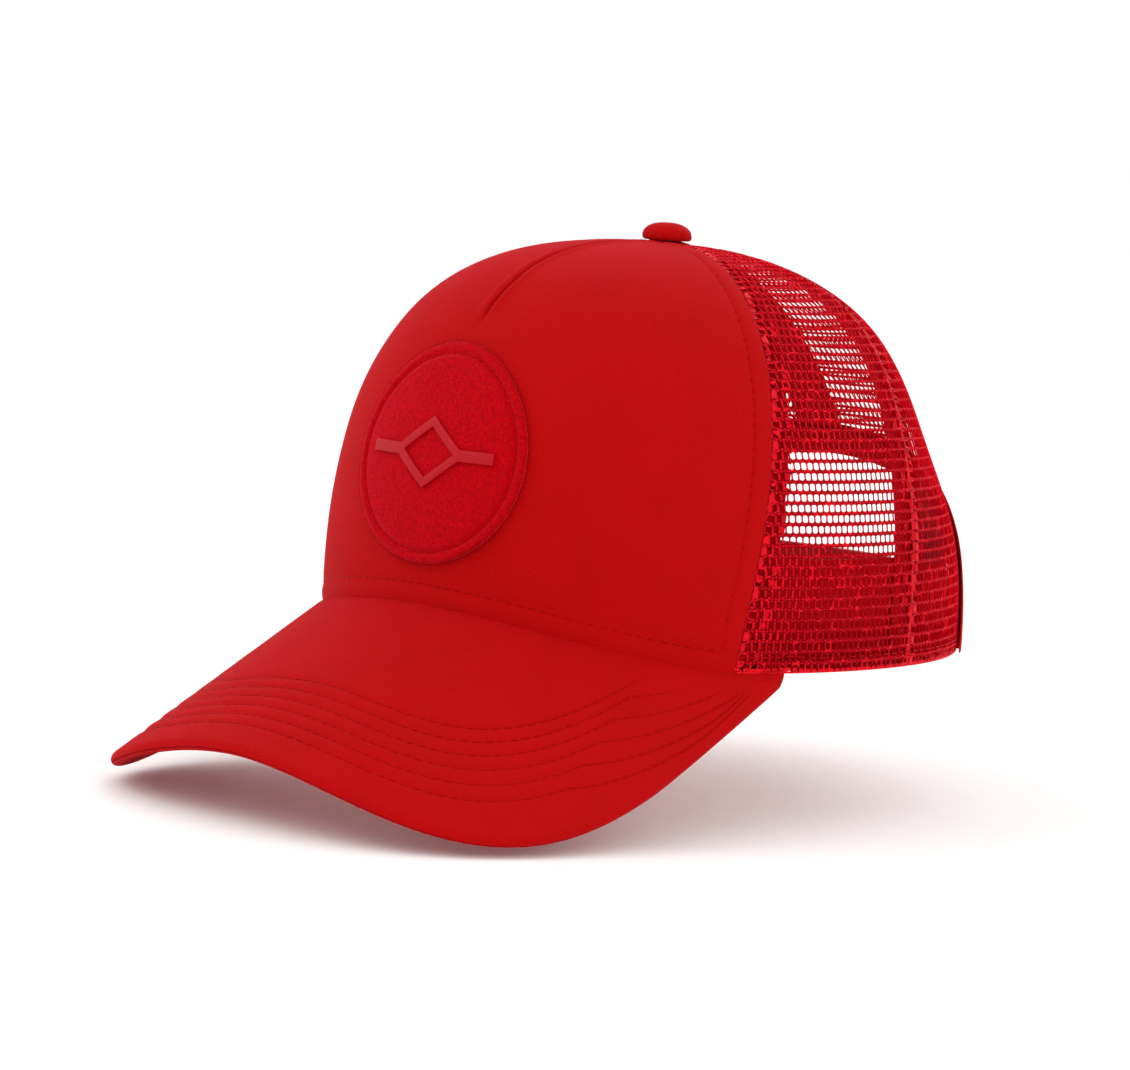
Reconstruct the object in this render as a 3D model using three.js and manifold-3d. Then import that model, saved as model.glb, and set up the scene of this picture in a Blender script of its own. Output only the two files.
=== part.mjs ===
// Trucker cap: a stiff cloth front, four mesh panels, a curved visor, a felt patch on the front and
// a plastic snap closure across the arch at the back.
//
// Millimetres, +Z up. The origin is the middle of the head opening, in the plane of the rim. The
// visor points to -Y and the wearer's left is +X. A place on the crown is given by a bearing around
// the head (0 at the front, 90 at the wearer's left, 180 at the back) and a rise from 0 at the rim
// to 1 at the top, and each layer of cloth lies at its own depth under the crown's outer face.

import * as THREE from 'three';
import { mergeVertices } from 'three/addons/utils/BufferGeometryUtils.js';
import Module from 'manifold-3d';

const wasm = await Module();
wasm.setup();

// ---------------------------------------------------------------- driving dimensions

const CROWN_HEIGHT = 114;
const FRONT_REACH = 96;            // rim, from the origin forwards
const BACK_REACH = 98;             // rim, from the origin backwards
const HALF_WIDTH = 88;             // rim, to either side
const RIM_POWER = 2.12;            // 2 is an ellipse, more is squarer
const PROFILE_POWER = { front: 3.1, side: 2.54, back: 1.85 };   // fuller sides for a higher power
const SHOULDER = { bearing: 127, spread: 20, swell: 2.0, swellRise: 0.88, swellHeight: 0.13,
  hollow: 2.9, hollowRise: 0.52, hollowHeight: 0.18 };

const VISOR = { depth: 70, halfWidth: 85, middleY: -62, power: 3.1, bendRadius: 102,
  slope: 26.8, cornerBearing: 67.5, thickness: 3.8, coverThickness: 0.8, boardInset: 1.3,
  tuck: 0.3, hornX: 84.3, hornY: -37 };

const FRONT_SEAM = { rim: 57.5, top: 66 };      // bearing of each front seam, at the rim and at the top
const SIDE_SEAM = { rim: 101, top: 126, power: 1.5 };      // bearing of each side-to-back seam
const SEAM_GAP = 0.4;
const APEX_HOLE = 5;               // radius left open around the button's post

const ARCH = { halfAngle: 46, height: 52, power: 2.2, bindingAngle: 5.5, bindingHeight: 7.2 };

const LAYER = {                    // depth under the crown's outer face, outside then inside
  frontCloth: [0, 1.2], mesh: [0.2, 1.2], stiffener: [1.7, 2.6], tape: [1.8, 2.2],
  label: [2.5, 2.8], foam: [3.1, 4.3], sweatband: [3.1, 3.8], sweatbandOverFoam: [4.7, 5.4],
  bindingOut: [-0.7, -0.1], bindingIn: [1.5, 2.1], felt: [-1.9, -0.3], emblem: [-3.0, -2.2],
  holeStrap: [2.4, 3.8], pegStrap: [4.1, 5.5],
};

const TAPE_WIDTH = { front: 13, side: 17, back: 17 };
const TAPE_FOOT = 0.01;            // share of the way from the rim to the hole at the top
const TAPE_TOP = 0.98;
const TAPE_TOP_ANGLE = 25;         // most that half a tape turns, where the tapes draw together
const SWEATBAND_WIDTH = 31.2;
const SWEATBAND_END = 128;
const FOAM = { halfAngle: 66, low: 3, high: 28 };
const PATCH = { radius: 31, height: 53.4 };
const EMBLEM = { halfLength: 22, halfWidth: 13, halfHeight: 10, line: 1.6, rim: 3 };
const LABEL = { from: 101, to: 131, low: 28, high: 50 };

const STRAP = { low: 3, high: 21, lean: 0.06, tabFrom: 128.8, tabTo: 137.2, hinge: 138,
  tip: 165, pitch: 5.7, count: 7, middleSnap: 4, holeRadius: 3.2, tipLength: 5.5 };
const PEG = { stemRadius: 1.3, headRadius: 1.9, root: 0.5, neck: 1.2, top: 2.05 };

const BUTTON = { radius: 7.2, low: 114.5, high: 119.7, cloth: 0.5, postRadius: 2,
  washerRadius: 6.5, washerTop: 111.3 };

// ---------------------------------------------------------------- materials

const cloth = (color, roughness) => new THREE.MeshStandardMaterial({ color, roughness, metalness: 0 });
const redTwill = () => cloth(0xb8040c, 0.85);
const redMesh = () => cloth(0xc40a20, 0.7);
const redFelt = () => cloth(0xb40818, 0.95);
const redTape = () => cloth(0xb0081a, 0.85);
const redBand = () => cloth(0xa8060f, 0.9);
const buckram = () => cloth(0xe6e2da, 0.9);
const foam = () => cloth(0xd8d4cc, 0.95);
const board = () => cloth(0xe2e0dc, 0.6);
const blackCloth = () => cloth(0x161616, 0.8);
const redPlastic = () => cloth(0xb60a14, 0.35);
const steel = () => new THREE.MeshStandardMaterial({ color: 0xb8b8b6, roughness: 0.35, metalness: 1 });

// ---------------------------------------------------------------- the crown's outer face

const rad = THREE.MathUtils.degToRad;
const lerp = THREE.MathUtils.lerp;
const smoothstep = THREE.MathUtils.smoothstep;
const power = (x, p) => Math.pow(Math.max(x, 0), p);
const bell = (x, middle, spread) => Math.exp(-(((x - middle) / spread) ** 2));

function rimRadius(bearing) {
  const side = Math.abs(Math.sin(rad(bearing))) / HALF_WIDTH;
  const along = Math.cos(rad(bearing));
  const ahead = Math.abs(along) / (along > 0 ? FRONT_REACH : BACK_REACH);
  return power(power(side, RIM_POWER) + power(ahead, RIM_POWER), -1 / RIM_POWER);
}

function rimPoint(bearing) {
  const r = rimRadius(bearing);
  return new THREE.Vector3(r * Math.sin(rad(bearing)), -r * Math.cos(rad(bearing)), 0);
}

function profilePower(bearing) {
  const along = Math.cos(rad(bearing));
  const end = along > 0 ? PROFILE_POWER.front : PROFILE_POWER.back;
  return lerp(PROFILE_POWER.side, end, along * along);
}

// The sweep runs from 0 at the rim to a quarter turn at the top.
function crownSurface(bearing, sweep) {
  const n = profilePower(bearing);
  const rise = Math.sign(sweep) * power(Math.abs(Math.sin(sweep)), 2 / n);
  const draw = power(Math.cos(sweep), 2 / n);
  const turned = Math.abs(THREE.MathUtils.euclideanModulo(bearing + 180, 360) - 180);
  const shoulder = bell(turned, SHOULDER.bearing, SHOULDER.spread) * (1 - bell(draw, 0, 0.15));
  const bulge = SHOULDER.swell * bell(rise, SHOULDER.swellRise, SHOULDER.swellHeight)
    - SHOULDER.hollow * bell(rise, SHOULDER.hollowRise, SHOULDER.hollowHeight);
  const r = rimRadius(bearing) * draw + shoulder * bulge;
  return new THREE.Vector3(
    r * Math.sin(rad(bearing)), -r * Math.cos(rad(bearing)), CROWN_HEIGHT * rise);
}

function crownNormal(bearing, sweep) {
  const step = 0.4;
  const across = crownSurface(bearing + step, sweep).sub(crownSurface(bearing - step, sweep));
  const up = crownSurface(bearing, sweep + rad(step)).sub(crownSurface(bearing, sweep - rad(step)));
  return across.cross(up).normalize();
}

const crownAt = (bearing, sweep, depth) =>
  crownSurface(bearing, sweep).addScaledVector(crownNormal(bearing, sweep), -depth);

const sweepAtHeight = (bearing, z) =>
  Math.asin(power(Math.min(z / CROWN_HEIGHT, 1), profilePower(bearing) / 2));

const sweepAtRadius = (bearing, r) =>
  Math.acos(power(r / rimRadius(bearing), profilePower(bearing) / 2));

// ---------------------------------------------------------------- the visor's upper face

const visorDrop = (x) => VISOR.bendRadius - Math.sqrt(Math.max(VISOR.bendRadius ** 2 - x * x, 0));
const visorSlope = Math.tan(rad(VISOR.slope));
const visorCorner = rimPoint(VISOR.cornerBearing);
const visorRise = visorDrop(visorCorner.x) - visorSlope * (visorCorner.y + FRONT_REACH);
const visorHeight = (x, y) => visorRise - visorDrop(x) + visorSlope * (y + FRONT_REACH);

// The crown's lower edge sits just over the visor in front and is flat behind the visor's corners.
function rimHeight(bearing) {
  const { x, y } = rimPoint(bearing);
  const behind = smoothstep(Math.abs(bearing), VISOR.cornerBearing + 0.5, VISOR.cornerBearing + 5);
  return (visorHeight(x, y) + 0.5) * (1 - behind);
}

// ---------------------------------------------------------------- closed solids

function solid(positions, triangles) {
  const geometry = new THREE.BufferGeometry();
  geometry.setAttribute('position', new THREE.Float32BufferAttribute(positions, 3));
  geometry.setIndex(triangles);
  return faceOutwards(geometry);
}

function faceOutwards(geometry) {
  const position = geometry.getAttribute('position');
  const index = geometry.getIndex();
  const [a, b, c] = [new THREE.Vector3(), new THREE.Vector3(), new THREE.Vector3()];
  let volume = 0;
  for (let i = 0; i < index.count; i += 3) {
    a.fromBufferAttribute(position, index.getX(i));
    b.fromBufferAttribute(position, index.getX(i + 1));
    c.fromBufferAttribute(position, index.getX(i + 2));
    volume += a.dot(b.cross(c));
  }
  if (volume < 0) {
    for (let i = 0; i < index.count; i += 3) {
      const first = index.getX(i);
      index.setX(i, index.getX(i + 2));
      index.setX(i + 2, first);
    }
  }
  geometry.computeVertexNormals();
  return geometry;
}

// A sheet with thickness: two grids of points of the same layout, walled around their edge.
function sheet(columns, rows, outer, inner) {
  const positions = [];
  for (const face of [outer, inner]) {
    for (let j = 0; j <= rows; j += 1) {
      for (let i = 0; i <= columns; i += 1) positions.push(...face(i, j).toArray());
    }
  }
  const under = (columns + 1) * (rows + 1);
  const at = (i, j) => j * (columns + 1) + i;
  const triangles = [];
  const quad = (a, b, c, d) => triangles.push(a, b, c, a, c, d);
  for (let j = 0; j < rows; j += 1) {
    for (let i = 0; i < columns; i += 1) {
      const [a, b, c, d] = [at(i, j), at(i + 1, j), at(i + 1, j + 1), at(i, j + 1)];
      quad(a, b, c, d);
      quad(c + under, b + under, a + under, d + under);
    }
  }
  const wall = (a, b) => quad(b, a, a + under, b + under);
  for (let i = 0; i < columns; i += 1) {
    wall(at(i, 0), at(i + 1, 0));
    wall(at(i + 1, rows), at(i, rows));
  }
  for (let j = 0; j < rows; j += 1) {
    wall(at(0, j + 1), at(0, j));
    wall(at(columns, j), at(columns, j + 1));
  }
  return solid(positions, triangles);
}

// A sheet of the crown. place(u, v) gives its bearing and sweep for u and v from 0 to 1.
function crownSheet(columns, rows, [outside, inside], place) {
  const face = (depth) => (i, j) => {
    const [bearing, sweep] = place(i / columns, j / rows);
    return crownAt(bearing, sweep, depth);
  };
  return sheet(columns, rows, face(outside), face(inside));
}

function lathe(outline) {
  const points = outline.map(([r, z]) => new THREE.Vector2(r, z));
  points.push(points[0].clone());
  const geometry = new THREE.LatheGeometry(points, 24).rotateX(Math.PI / 2);
  geometry.deleteAttribute('normal');
  geometry.deleteAttribute('uv');
  return faceOutwards(mergeVertices(geometry, 1e-4));
}

function toManifold(geometry) {
  const bare = geometry.clone();
  for (const name of Object.keys(bare.attributes)) {
    if (name !== 'position') bare.deleteAttribute(name);
  }
  const merged = mergeVertices(bare, 1e-4);
  return new wasm.Manifold(new wasm.Mesh({
    numProp: 3,
    vertProperties: new Float32Array(merged.getAttribute('position').array),
    triVerts: new Uint32Array(merged.getIndex().array),
  }));
}

function fromManifold(manifold) {
  const { vertProperties, triVerts } = manifold.getMesh();
  return solid(Array.from(vertProperties), Array.from(triVerts));
}

const cap = new THREE.Group();
function add(name, geometry, material) {
  const mesh = new THREE.Mesh(geometry, material);
  mesh.name = name;
  cap.add(mesh);
}

// ---------------------------------------------------------------- crown panels

const PANEL_ROWS = 18;

const frontTurn = (v) => Math.sin(power(Math.sin(v * Math.PI / 2), 0.77) * Math.PI / 2);
const frontSeam = (v) => lerp(FRONT_SEAM.rim, FRONT_SEAM.top, frontTurn(v));
const sideSeam = (v) => lerp(SIDE_SEAM.rim, SIDE_SEAM.top, v ** SIDE_SEAM.power);

const sweepBetween = (bearing, low, v) => lerp(low, sweepAtRadius(bearing, APEX_HOLE), v);
const sweepFromRim = (bearing, v) =>
  sweepBetween(bearing, sweepAtHeight(bearing, rimHeight(bearing)), v);

// Half of a width along the rim's direction, as an angle at the place where the crown has that radius.
function angleOf(width, bearing, sweep) {
  const point = crownSurface(bearing, sweep);
  return THREE.MathUtils.radToDeg(width / Math.max(Math.hypot(point.x, point.y), 1));
}

const seamGapAngle = (bearing, v) => angleOf(SEAM_GAP / 2, bearing, sweepFromRim(bearing, v));

add('front_panel', crownSheet(16, PANEL_ROWS, LAYER.frontCloth, (u, v) => {
  const edge = frontSeam(v) - seamGapAngle(frontSeam(v), v);
  const bearing = (2 * u - 1) * edge;
  return [bearing, sweepFromRim(bearing, v)];
}), redTwill());

const tapeHalfAngle = (width, bearing, sweep) =>
  Math.min(angleOf(width / 2, bearing, sweep), TAPE_TOP_ANGLE);

add('front_stiffener', crownSheet(14, PANEL_ROWS - 2, LAYER.stiffener, (u, v) => {
  const climb = lerp(0.01, 0.93, v);
  const seam = frontSeam(climb);
  const sweep = sweepFromRim(seam, climb);
  const edge = seam - tapeHalfAngle(TAPE_WIDTH.front, seam, sweep) - angleOf(1.5, seam, sweep);
  const bearing = (2 * u - 1) * edge;
  return [bearing, sweepFromRim(bearing, climb)];
}), buckram());

// The arch's edge, or a curve around it: spread is 0 at the opening and 1 at the binding's outer edge.
function archCurve(turn, spread) {
  const across = ARCH.halfAngle + ARCH.bindingAngle * spread;
  const height = ARCH.height + ARCH.bindingHeight * spread;
  return {
    fromBack: across * Math.sign(Math.cos(turn)) * power(Math.abs(Math.cos(turn)), 2 / ARCH.power),
    height: height * power(Math.sin(turn), 2 / ARCH.power),
  };
}

const MESH_IN_BINDING = 0.16;
const RIM_COLUMNS = 4;
const ARCH_COLUMNS = 12;

// The lower edge of a back panel runs along the rim to the foot of the arch, then up and over it.
// Its columns lean with the side seam up to the arch's foot and stand upright over the arch.
function backPanelPlace(column, v) {
  const foot = 180 - archCurve(0, MESH_IN_BINDING).fromBack;
  if (column <= RIM_COLUMNS) {
    const ahead = sideSeam(v) + seamGapAngle(sideSeam(v), v);
    return { bearing: lerp(ahead, foot, column / RIM_COLUMNS), low: 0 };
  }
  const turn = (column - RIM_COLUMNS) / ARCH_COLUMNS * Math.PI / 2;
  const { fromBack, height } = archCurve(turn, MESH_IN_BINDING);
  const low = sweepAtHeight(180 - fromBack, height);
  return { bearing: 180 - Math.max(fromBack, seamGapAngle(180, v)), low };
}

for (const [side, name] of [[1, 'left'], [-1, 'right']]) {
  add(`mesh_side_${name}`, crownSheet(7, PANEL_ROWS, LAYER.mesh, (u, v) => {
    const ahead = frontSeam(v) + seamGapAngle(frontSeam(v), v);
    const behind = sideSeam(v) - seamGapAngle(sideSeam(v), v);
    const bearing = side * lerp(ahead, behind, u);
    return [bearing, sweepFromRim(bearing, v)];
  }), redMesh());

  const columns = RIM_COLUMNS + ARCH_COLUMNS;
  add(`mesh_back_${name}`, crownSheet(columns, PANEL_ROWS, LAYER.mesh, (u, v) => {
    const { bearing, low } = backPanelPlace(Math.round(u * columns), v);
    return [side * bearing, sweepBetween(bearing, low, v)];
  }), redMesh());
}

// ---------------------------------------------------------------- seam tapes, inside the crown

function seamTape(seam, low, width) {
  return crownSheet(2, PANEL_ROWS, LAYER.tape, (u, v) => {
    const climb = lerp(low, TAPE_TOP, v);
    const middle = seam(climb);
    const sweep = sweepFromRim(middle, climb);
    return [middle + (2 * u - 1) * tapeHalfAngle(width, middle, sweep), sweep];
  });
}

for (const [side, name] of [[1, 'left'], [-1, 'right']]) {
  add(`tape_front_${name}`,
    seamTape((v) => side * frontSeam(v), TAPE_FOOT, TAPE_WIDTH.front), redTape());
  add(`tape_side_${name}`,
    seamTape((v) => side * sideSeam(v), TAPE_FOOT, TAPE_WIDTH.side), redTape());
}
const aboveArch = sweepAtHeight(180, ARCH.height + ARCH.bindingHeight + 1.5);
const backTapeFoot = aboveArch / sweepAtRadius(180, APEX_HOLE);
add('tape_back_centre', seamTape(() => 180, backTapeFoot, TAPE_WIDTH.back), redTape());

// ---------------------------------------------------------------- arch binding

// A tape folded over the mesh all along the arch: two leaves joined by a fold at the opening.
function archBinding() {
  const [leafTop, leafUnder] = LAYER.bindingOut;
  const [lineTop, lineUnder] = LAYER.bindingIn;
  const fold = 0.08;
  const section = [[0, leafTop], [1, leafTop], [1, leafUnder], [fold, leafUnder],
    [fold, lineTop], [1, lineTop], [1, lineUnder], [0, lineUnder]];
  const stations = 2 * ARCH_COLUMNS;
  const positions = [];
  for (let i = 0; i <= stations; i += 1) {
    for (const [spread, depth] of section) {
      const { fromBack, height } = archCurve(i / stations * Math.PI, spread);
      const bearing = 180 - fromBack;
      positions.push(...crownAt(bearing, sweepAtHeight(bearing, height), depth).toArray());
    }
  }
  const n = section.length;
  const triangles = [];
  for (let i = 0; i < stations; i += 1) {
    for (let k = 0; k < n; k += 1) {
      const [a, b] = [i * n + k, i * n + (k + 1) % n];
      triangles.push(a, b, b + n, a, b + n, a + n);
    }
  }
  const endCap = [[0, 1, 2], [0, 2, 3], [0, 3, 4], [0, 4, 7], [4, 5, 6], [4, 6, 7]];
  for (const [a, b, c] of endCap) {
    triangles.push(c, b, a);
    triangles.push(stations * n + a, stations * n + b, stations * n + c);
  }
  return solid(positions, triangles);
}
add('arch_binding', archBinding(), redTape());

// ---------------------------------------------------------------- sweatband and label

function sweatbandLayer(bearing) {
  const overFoam = 1 - smoothstep(Math.abs(bearing), FOAM.halfAngle + 2, FOAM.halfAngle + 14);
  return LAYER.sweatband.map((depth, k) => lerp(depth, LAYER.sweatbandOverFoam[k], overFoam));
}

function bandSheet(columns, rows, halfAngle, low, high, layerAt) {
  const face = (k) => (i, j) => {
    const bearing = lerp(-halfAngle, halfAngle, i / columns);
    const z = rimHeight(bearing) + lerp(low, high, j / rows);
    return crownAt(bearing, sweepAtHeight(bearing, z), layerAt(bearing)[k]);
  };
  return sheet(columns, rows, face(0), face(1));
}

add('sweatband', bandSheet(48, 3, SWEATBAND_END, 0, SWEATBAND_WIDTH, sweatbandLayer), redBand());
add('sweatband_foam',
  bandSheet(22, 2, FOAM.halfAngle, FOAM.low, FOAM.high, () => LAYER.foam), foam());

add('woven_label', crownSheet(5, 2, LAYER.label, (u, v) => {
  const bearing = lerp(LABEL.from, LABEL.to, u);
  return [bearing, sweepAtHeight(bearing, lerp(LABEL.low, LABEL.high, v))];
}), blackCloth());

// ---------------------------------------------------------------- visor

function visorNormal(x, y) {
  const tilt = x / Math.sqrt(VISOR.bendRadius ** 2 - x * x);
  return new THREE.Vector3(tilt, -visorSlope, 1).normalize();
}

function visorAt(x, y, depth) {
  return new THREE.Vector3(x, y, visorHeight(x, y)).addScaledVector(visorNormal(x, y), -depth);
}

const HORN_TURN = 93;              // where the outline ends, as a turn around the visor's middle

function visorOuter(u) {
  const turn = rad(HORN_TURN * u);
  const reach = VISOR.depth + FRONT_REACH + VISOR.middleY;
  const x = VISOR.halfWidth * Math.sign(turn) * power(Math.abs(Math.sin(turn)), 2 / VISOR.power);
  const ahead = Math.sign(Math.cos(turn)) * power(Math.abs(Math.cos(turn)), 2 / VISOR.power);
  const y = VISOR.middleY - reach * ahead;
  const horn = smoothstep(Math.abs(u), 0.9, 1);
  return [lerp(x, Math.sign(u) * VISOR.hornX, horn), lerp(y, VISOR.hornY, horn)];
}

// The visor's inner edge lies just under the crown's edge.
function visorInner(u) {
  const { x, y } = rimPoint(VISOR.cornerBearing * u);
  const share = 1 - VISOR.tuck / Math.hypot(x, y);
  return [x * share, y * share];
}

// A point of the visor: u from horn to horn, v from the crown to the outline less an inset.
function visorPlan(u, v, inset) {
  const [x0, y0] = visorInner(u);
  const [x1, y1] = visorOuter(u);
  const length = Math.hypot(x1 - x0, y1 - y0);
  const share = lerp(0, 1 - inset / length, v);
  return [lerp(x0, x1, share), lerp(y0, y1, share)];
}

const VISOR_COLUMNS = 34;
const VISOR_ROWS = 7;
const visorU = (i) => 2 * i / VISOR_COLUMNS - 1;

// A cover of the visor, with its outer edge turned over the board's edge towards the other cover.
function visorCover(faceDepth, liningDepth, turnDepth) {
  const face = (depth, inset) => (i, j) => {
    const v = Math.min(j / VISOR_ROWS, 1);
    const [x, y] = visorPlan(visorU(i), v, inset);
    return visorAt(x, y, j > VISOR_ROWS ? turnDepth : depth);
  };
  return sheet(VISOR_COLUMNS, VISOR_ROWS + 1,
    face(faceDepth, 0), face(liningDepth, VISOR.coverThickness));
}

const middleDepth = VISOR.thickness / 2;
add('visor_top_cover', visorCover(0, VISOR.coverThickness, middleDepth - 0.15), redTwill());
add('visor_under_cover', visorCover(
  VISOR.thickness, VISOR.thickness - VISOR.coverThickness, middleDepth + 0.15), redTwill());

const BOARD_END = 0.985;           // the board stops short of the horns
const boardFace = (depth) => (i, j) => {
  const u = THREE.MathUtils.clamp(visorU(i), -BOARD_END, BOARD_END);
  const [x, y] = visorPlan(u, j / VISOR_ROWS, VISOR.boardInset);
  return visorAt(x, y, depth);
};
add('visor_board', sheet(VISOR_COLUMNS, VISOR_ROWS,
  boardFace(VISOR.coverThickness + 0.3),
  boardFace(VISOR.thickness - VISOR.coverThickness - 0.3)), board());

// ---------------------------------------------------------------- button on the top

const { radius: br, low: bz, high: bt, cloth: bc } = BUTTON;
add('button_cover', lathe([
  [4.6, bz], [br - 0.7, bz], [br - 0.1, bz + 0.6], [br, bz + 1.5], [br - 0.5, bz + 2.8],
  [br - 1.9, bt - 0.9], [br - 4.4, bt - 0.2], [0, bt],
  [0, bt - bc], [br - 4.5, bt - bc - 0.2], [br - 2.2, bt - bc - 0.9], [br - 1.0, bz + 2.6],
  [br - bc, bz + 1.5], [br - 0.7, bz + bc + 0.2], [4.6, bz + bc],
]), redTwill());

const shellTop = bt - bc - 0.3;
add('button_shell', lathe([
  [5.5, bz + 0.9], [br - 1.0, bz + 0.9], [br - 1.0, bz + 1.6], [br - 1.5, bz + 2.5],
  [br - 2.6, shellTop - 0.9], [br - 4.6, shellTop - 0.2], [0, shellTop],
  [0, shellTop - 0.5], [br - 4.8, shellTop - 0.7], [br - 3.0, shellTop - 1.4],
  [br - 2.0, bz + 2.2], [br - 1.6, bz + 1.4], [5.5, bz + 1.4],
]), steel());

const washerUnder = BUTTON.washerTop - 0.6;
add('button_washer', lathe([
  [BUTTON.postRadius + 0.3, washerUnder], [BUTTON.washerRadius, washerUnder],
  [BUTTON.washerRadius, BUTTON.washerTop], [BUTTON.postRadius + 0.3, BUTTON.washerTop],
]), steel());

add('button_post', lathe([
  [0, washerUnder - 1.1], [3.2, washerUnder - 1.1], [3.2, washerUnder - 0.3],
  [BUTTON.postRadius, washerUnder - 0.3], [BUTTON.postRadius, shellTop - 1.1],
  [0, shellTop - 1.1],
]), steel());

// ---------------------------------------------------------------- patch and emblem

// Carries a flat drawing onto the front of the crown: right and up in millimetres from its middle.
function onFront(right, up, depth) {
  const middle = sweepAtHeight(0, PATCH.height);
  const here = crownSurface(0, middle);
  const above = crownSurface(0, sweepAtHeight(0, PATCH.height + 1));
  const climb = 1 / here.distanceTo(above);
  const z = PATCH.height + up * climb;
  const radius = Math.hypot(here.x, here.y);
  const bearing = THREE.MathUtils.radToDeg(right / radius);
  return crownAt(bearing, sweepAtHeight(bearing, z), depth);
}

const PATCH_CELLS = 12;
const patchFace = (depth) => (i, j) => {
  const [a, b] = [2 * i / PATCH_CELLS - 1, 2 * j / PATCH_CELLS - 1];
  const right = PATCH.radius * a * Math.sqrt(1 - b * b / 2);
  const up = PATCH.radius * b * Math.sqrt(1 - a * a / 2);
  return onFront(right, up, depth);
};
add('patch_felt', sheet(PATCH_CELLS, PATCH_CELLS,
  patchFace(LAYER.felt[0]), patchFace(LAYER.felt[1])), redFelt());

// A plain lozenge frame with a bar running out of each side.
function emblem() {
  const { halfLength, halfWidth, halfHeight, line, rim } = EMBLEM;
  const meet = halfWidth * (1 - line / halfHeight);
  const shape = new THREE.Shape();
  shape.moveTo(-halfLength, -line);
  shape.lineTo(-meet, -line);
  shape.lineTo(0, -halfHeight);
  shape.lineTo(meet, -line);
  shape.lineTo(halfLength, -line);
  shape.lineTo(halfLength, line);
  shape.lineTo(meet, line);
  shape.lineTo(0, halfHeight);
  shape.lineTo(-meet, line);
  shape.lineTo(-halfLength, line);
  shape.closePath();
  const slant = rim * halfWidth / halfHeight;
  const hole = new THREE.Path();
  hole.moveTo(-halfWidth + slant, 0);
  hole.lineTo(0, halfHeight - rim);
  hole.lineTo(halfWidth - slant, 0);
  hole.lineTo(0, -halfHeight + rim);
  hole.closePath();
  shape.holes.push(hole);
  const flat = new THREE.ExtrudeGeometry(shape, { depth: 1, bevelEnabled: false, curveSegments: 4 });
  flat.deleteAttribute('normal');
  flat.deleteAttribute('uv');
  const bent = mergeVertices(flat, 1e-4);
  const position = bent.getAttribute('position');
  for (let i = 0; i < position.count; i += 1) {
    const depth = lerp(LAYER.emblem[1], LAYER.emblem[0], position.getZ(i));
    const point = onFront(position.getX(i), position.getY(i), depth);
    position.setXYZ(i, point.x, point.y, point.z);
  }
  return faceOutwards(bent);
}
add('patch_emblem', emblem(), redFelt());

// ---------------------------------------------------------------- snap closure

// A point of a strap: both straps follow the rim and lean in as the crown does at the arch's feet.
function rimNormal(bearing) {
  const along = rimPoint(bearing + 0.5).sub(rimPoint(bearing - 0.5));
  return new THREE.Vector3(along.y, -along.x, 0).normalize();
}

function strapAt(bearing, z, depth) {
  const point = rimPoint(bearing).addScaledVector(rimNormal(bearing), -(depth + STRAP.lean * z));
  point.z = z;
  return point;
}

const strapMiddle = (STRAP.low + STRAP.high) / 2;

// The height of a strap's half at a bearing: full, and rounded off towards its tip.
function strapHalfHeight(fromTip) {
  const half = (STRAP.high - STRAP.low) / 2;
  const into = THREE.MathUtils.clamp(fromTip / STRAP.tipLength, 0, 1);
  return half * lerp(0.35, 1, Math.sqrt(1 - (1 - into) ** 2));
}

// side is +1 for the wearer's left. The bearing runs from the hinge past the back to the tip.
function strapBlank(side, [outside, inside], shift) {
  const columns = 26;
  const end = 360 - STRAP.tip;
  const face = (depth) => (i, j) => {
    const u = 1 - (1 - i / columns) ** 1.25;
    const bearing = lerp(STRAP.hinge, end, u);
    const half = strapHalfHeight(end - bearing);
    const z = strapMiddle + (2 * j / 2 - 1) * half;
    return strapAt(side * bearing, z, depth + shift(bearing));
  };
  return sheet(columns, 2, face(outside), face(inside));
}

function strapTab(side, [outside, inside]) {
  const face = (depth) => (i, j) => strapAt(
    side * lerp(STRAP.tabFrom, STRAP.tabTo, i / 3), lerp(STRAP.low, STRAP.high, j), depth);
  return sheet(3, 1, face(outside), face(inside));
}

// A turned shape that stands on a strap's outer face, its axis along the strap's normal there.
function standOn(geometry, bearing, depth) {
  const normal = rimNormal(bearing);
  const turn = new THREE.Quaternion().setFromUnitVectors(new THREE.Vector3(0, 0, 1), normal);
  const place = strapAt(bearing, strapMiddle, depth);
  return geometry.applyQuaternion(turn).translate(place.x, place.y, place.z);
}

function drum(radius, from, to) {
  return lathe([[0, from], [radius, from], [radius, to], [0, to]]);
}

// The snaps' turns from the middle of the back, from a strap's hinge towards its tip.
const snapAngles = Array.from({ length: STRAP.count }, (_, k) => (k - STRAP.middleSnap) * STRAP.pitch);

// Wearer's right, outside: the strap with the holes.
const holeStrapLayer = LAYER.holeStrap;
let holeStrap = toManifold(strapBlank(-1, holeStrapLayer, () => 0));
for (const angle of snapAngles) {
  const bearing = 180 - angle;
  const cutter = standOn(drum(STRAP.holeRadius, -4, 4), bearing, holeStrapLayer[0]);
  holeStrap = holeStrap.subtract(toManifold(cutter));
}
add('hole_strap', fromManifold(holeStrap), redPlastic());
add('hole_strap_tab', strapTab(-1, holeStrapLayer), redPlastic());

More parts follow.
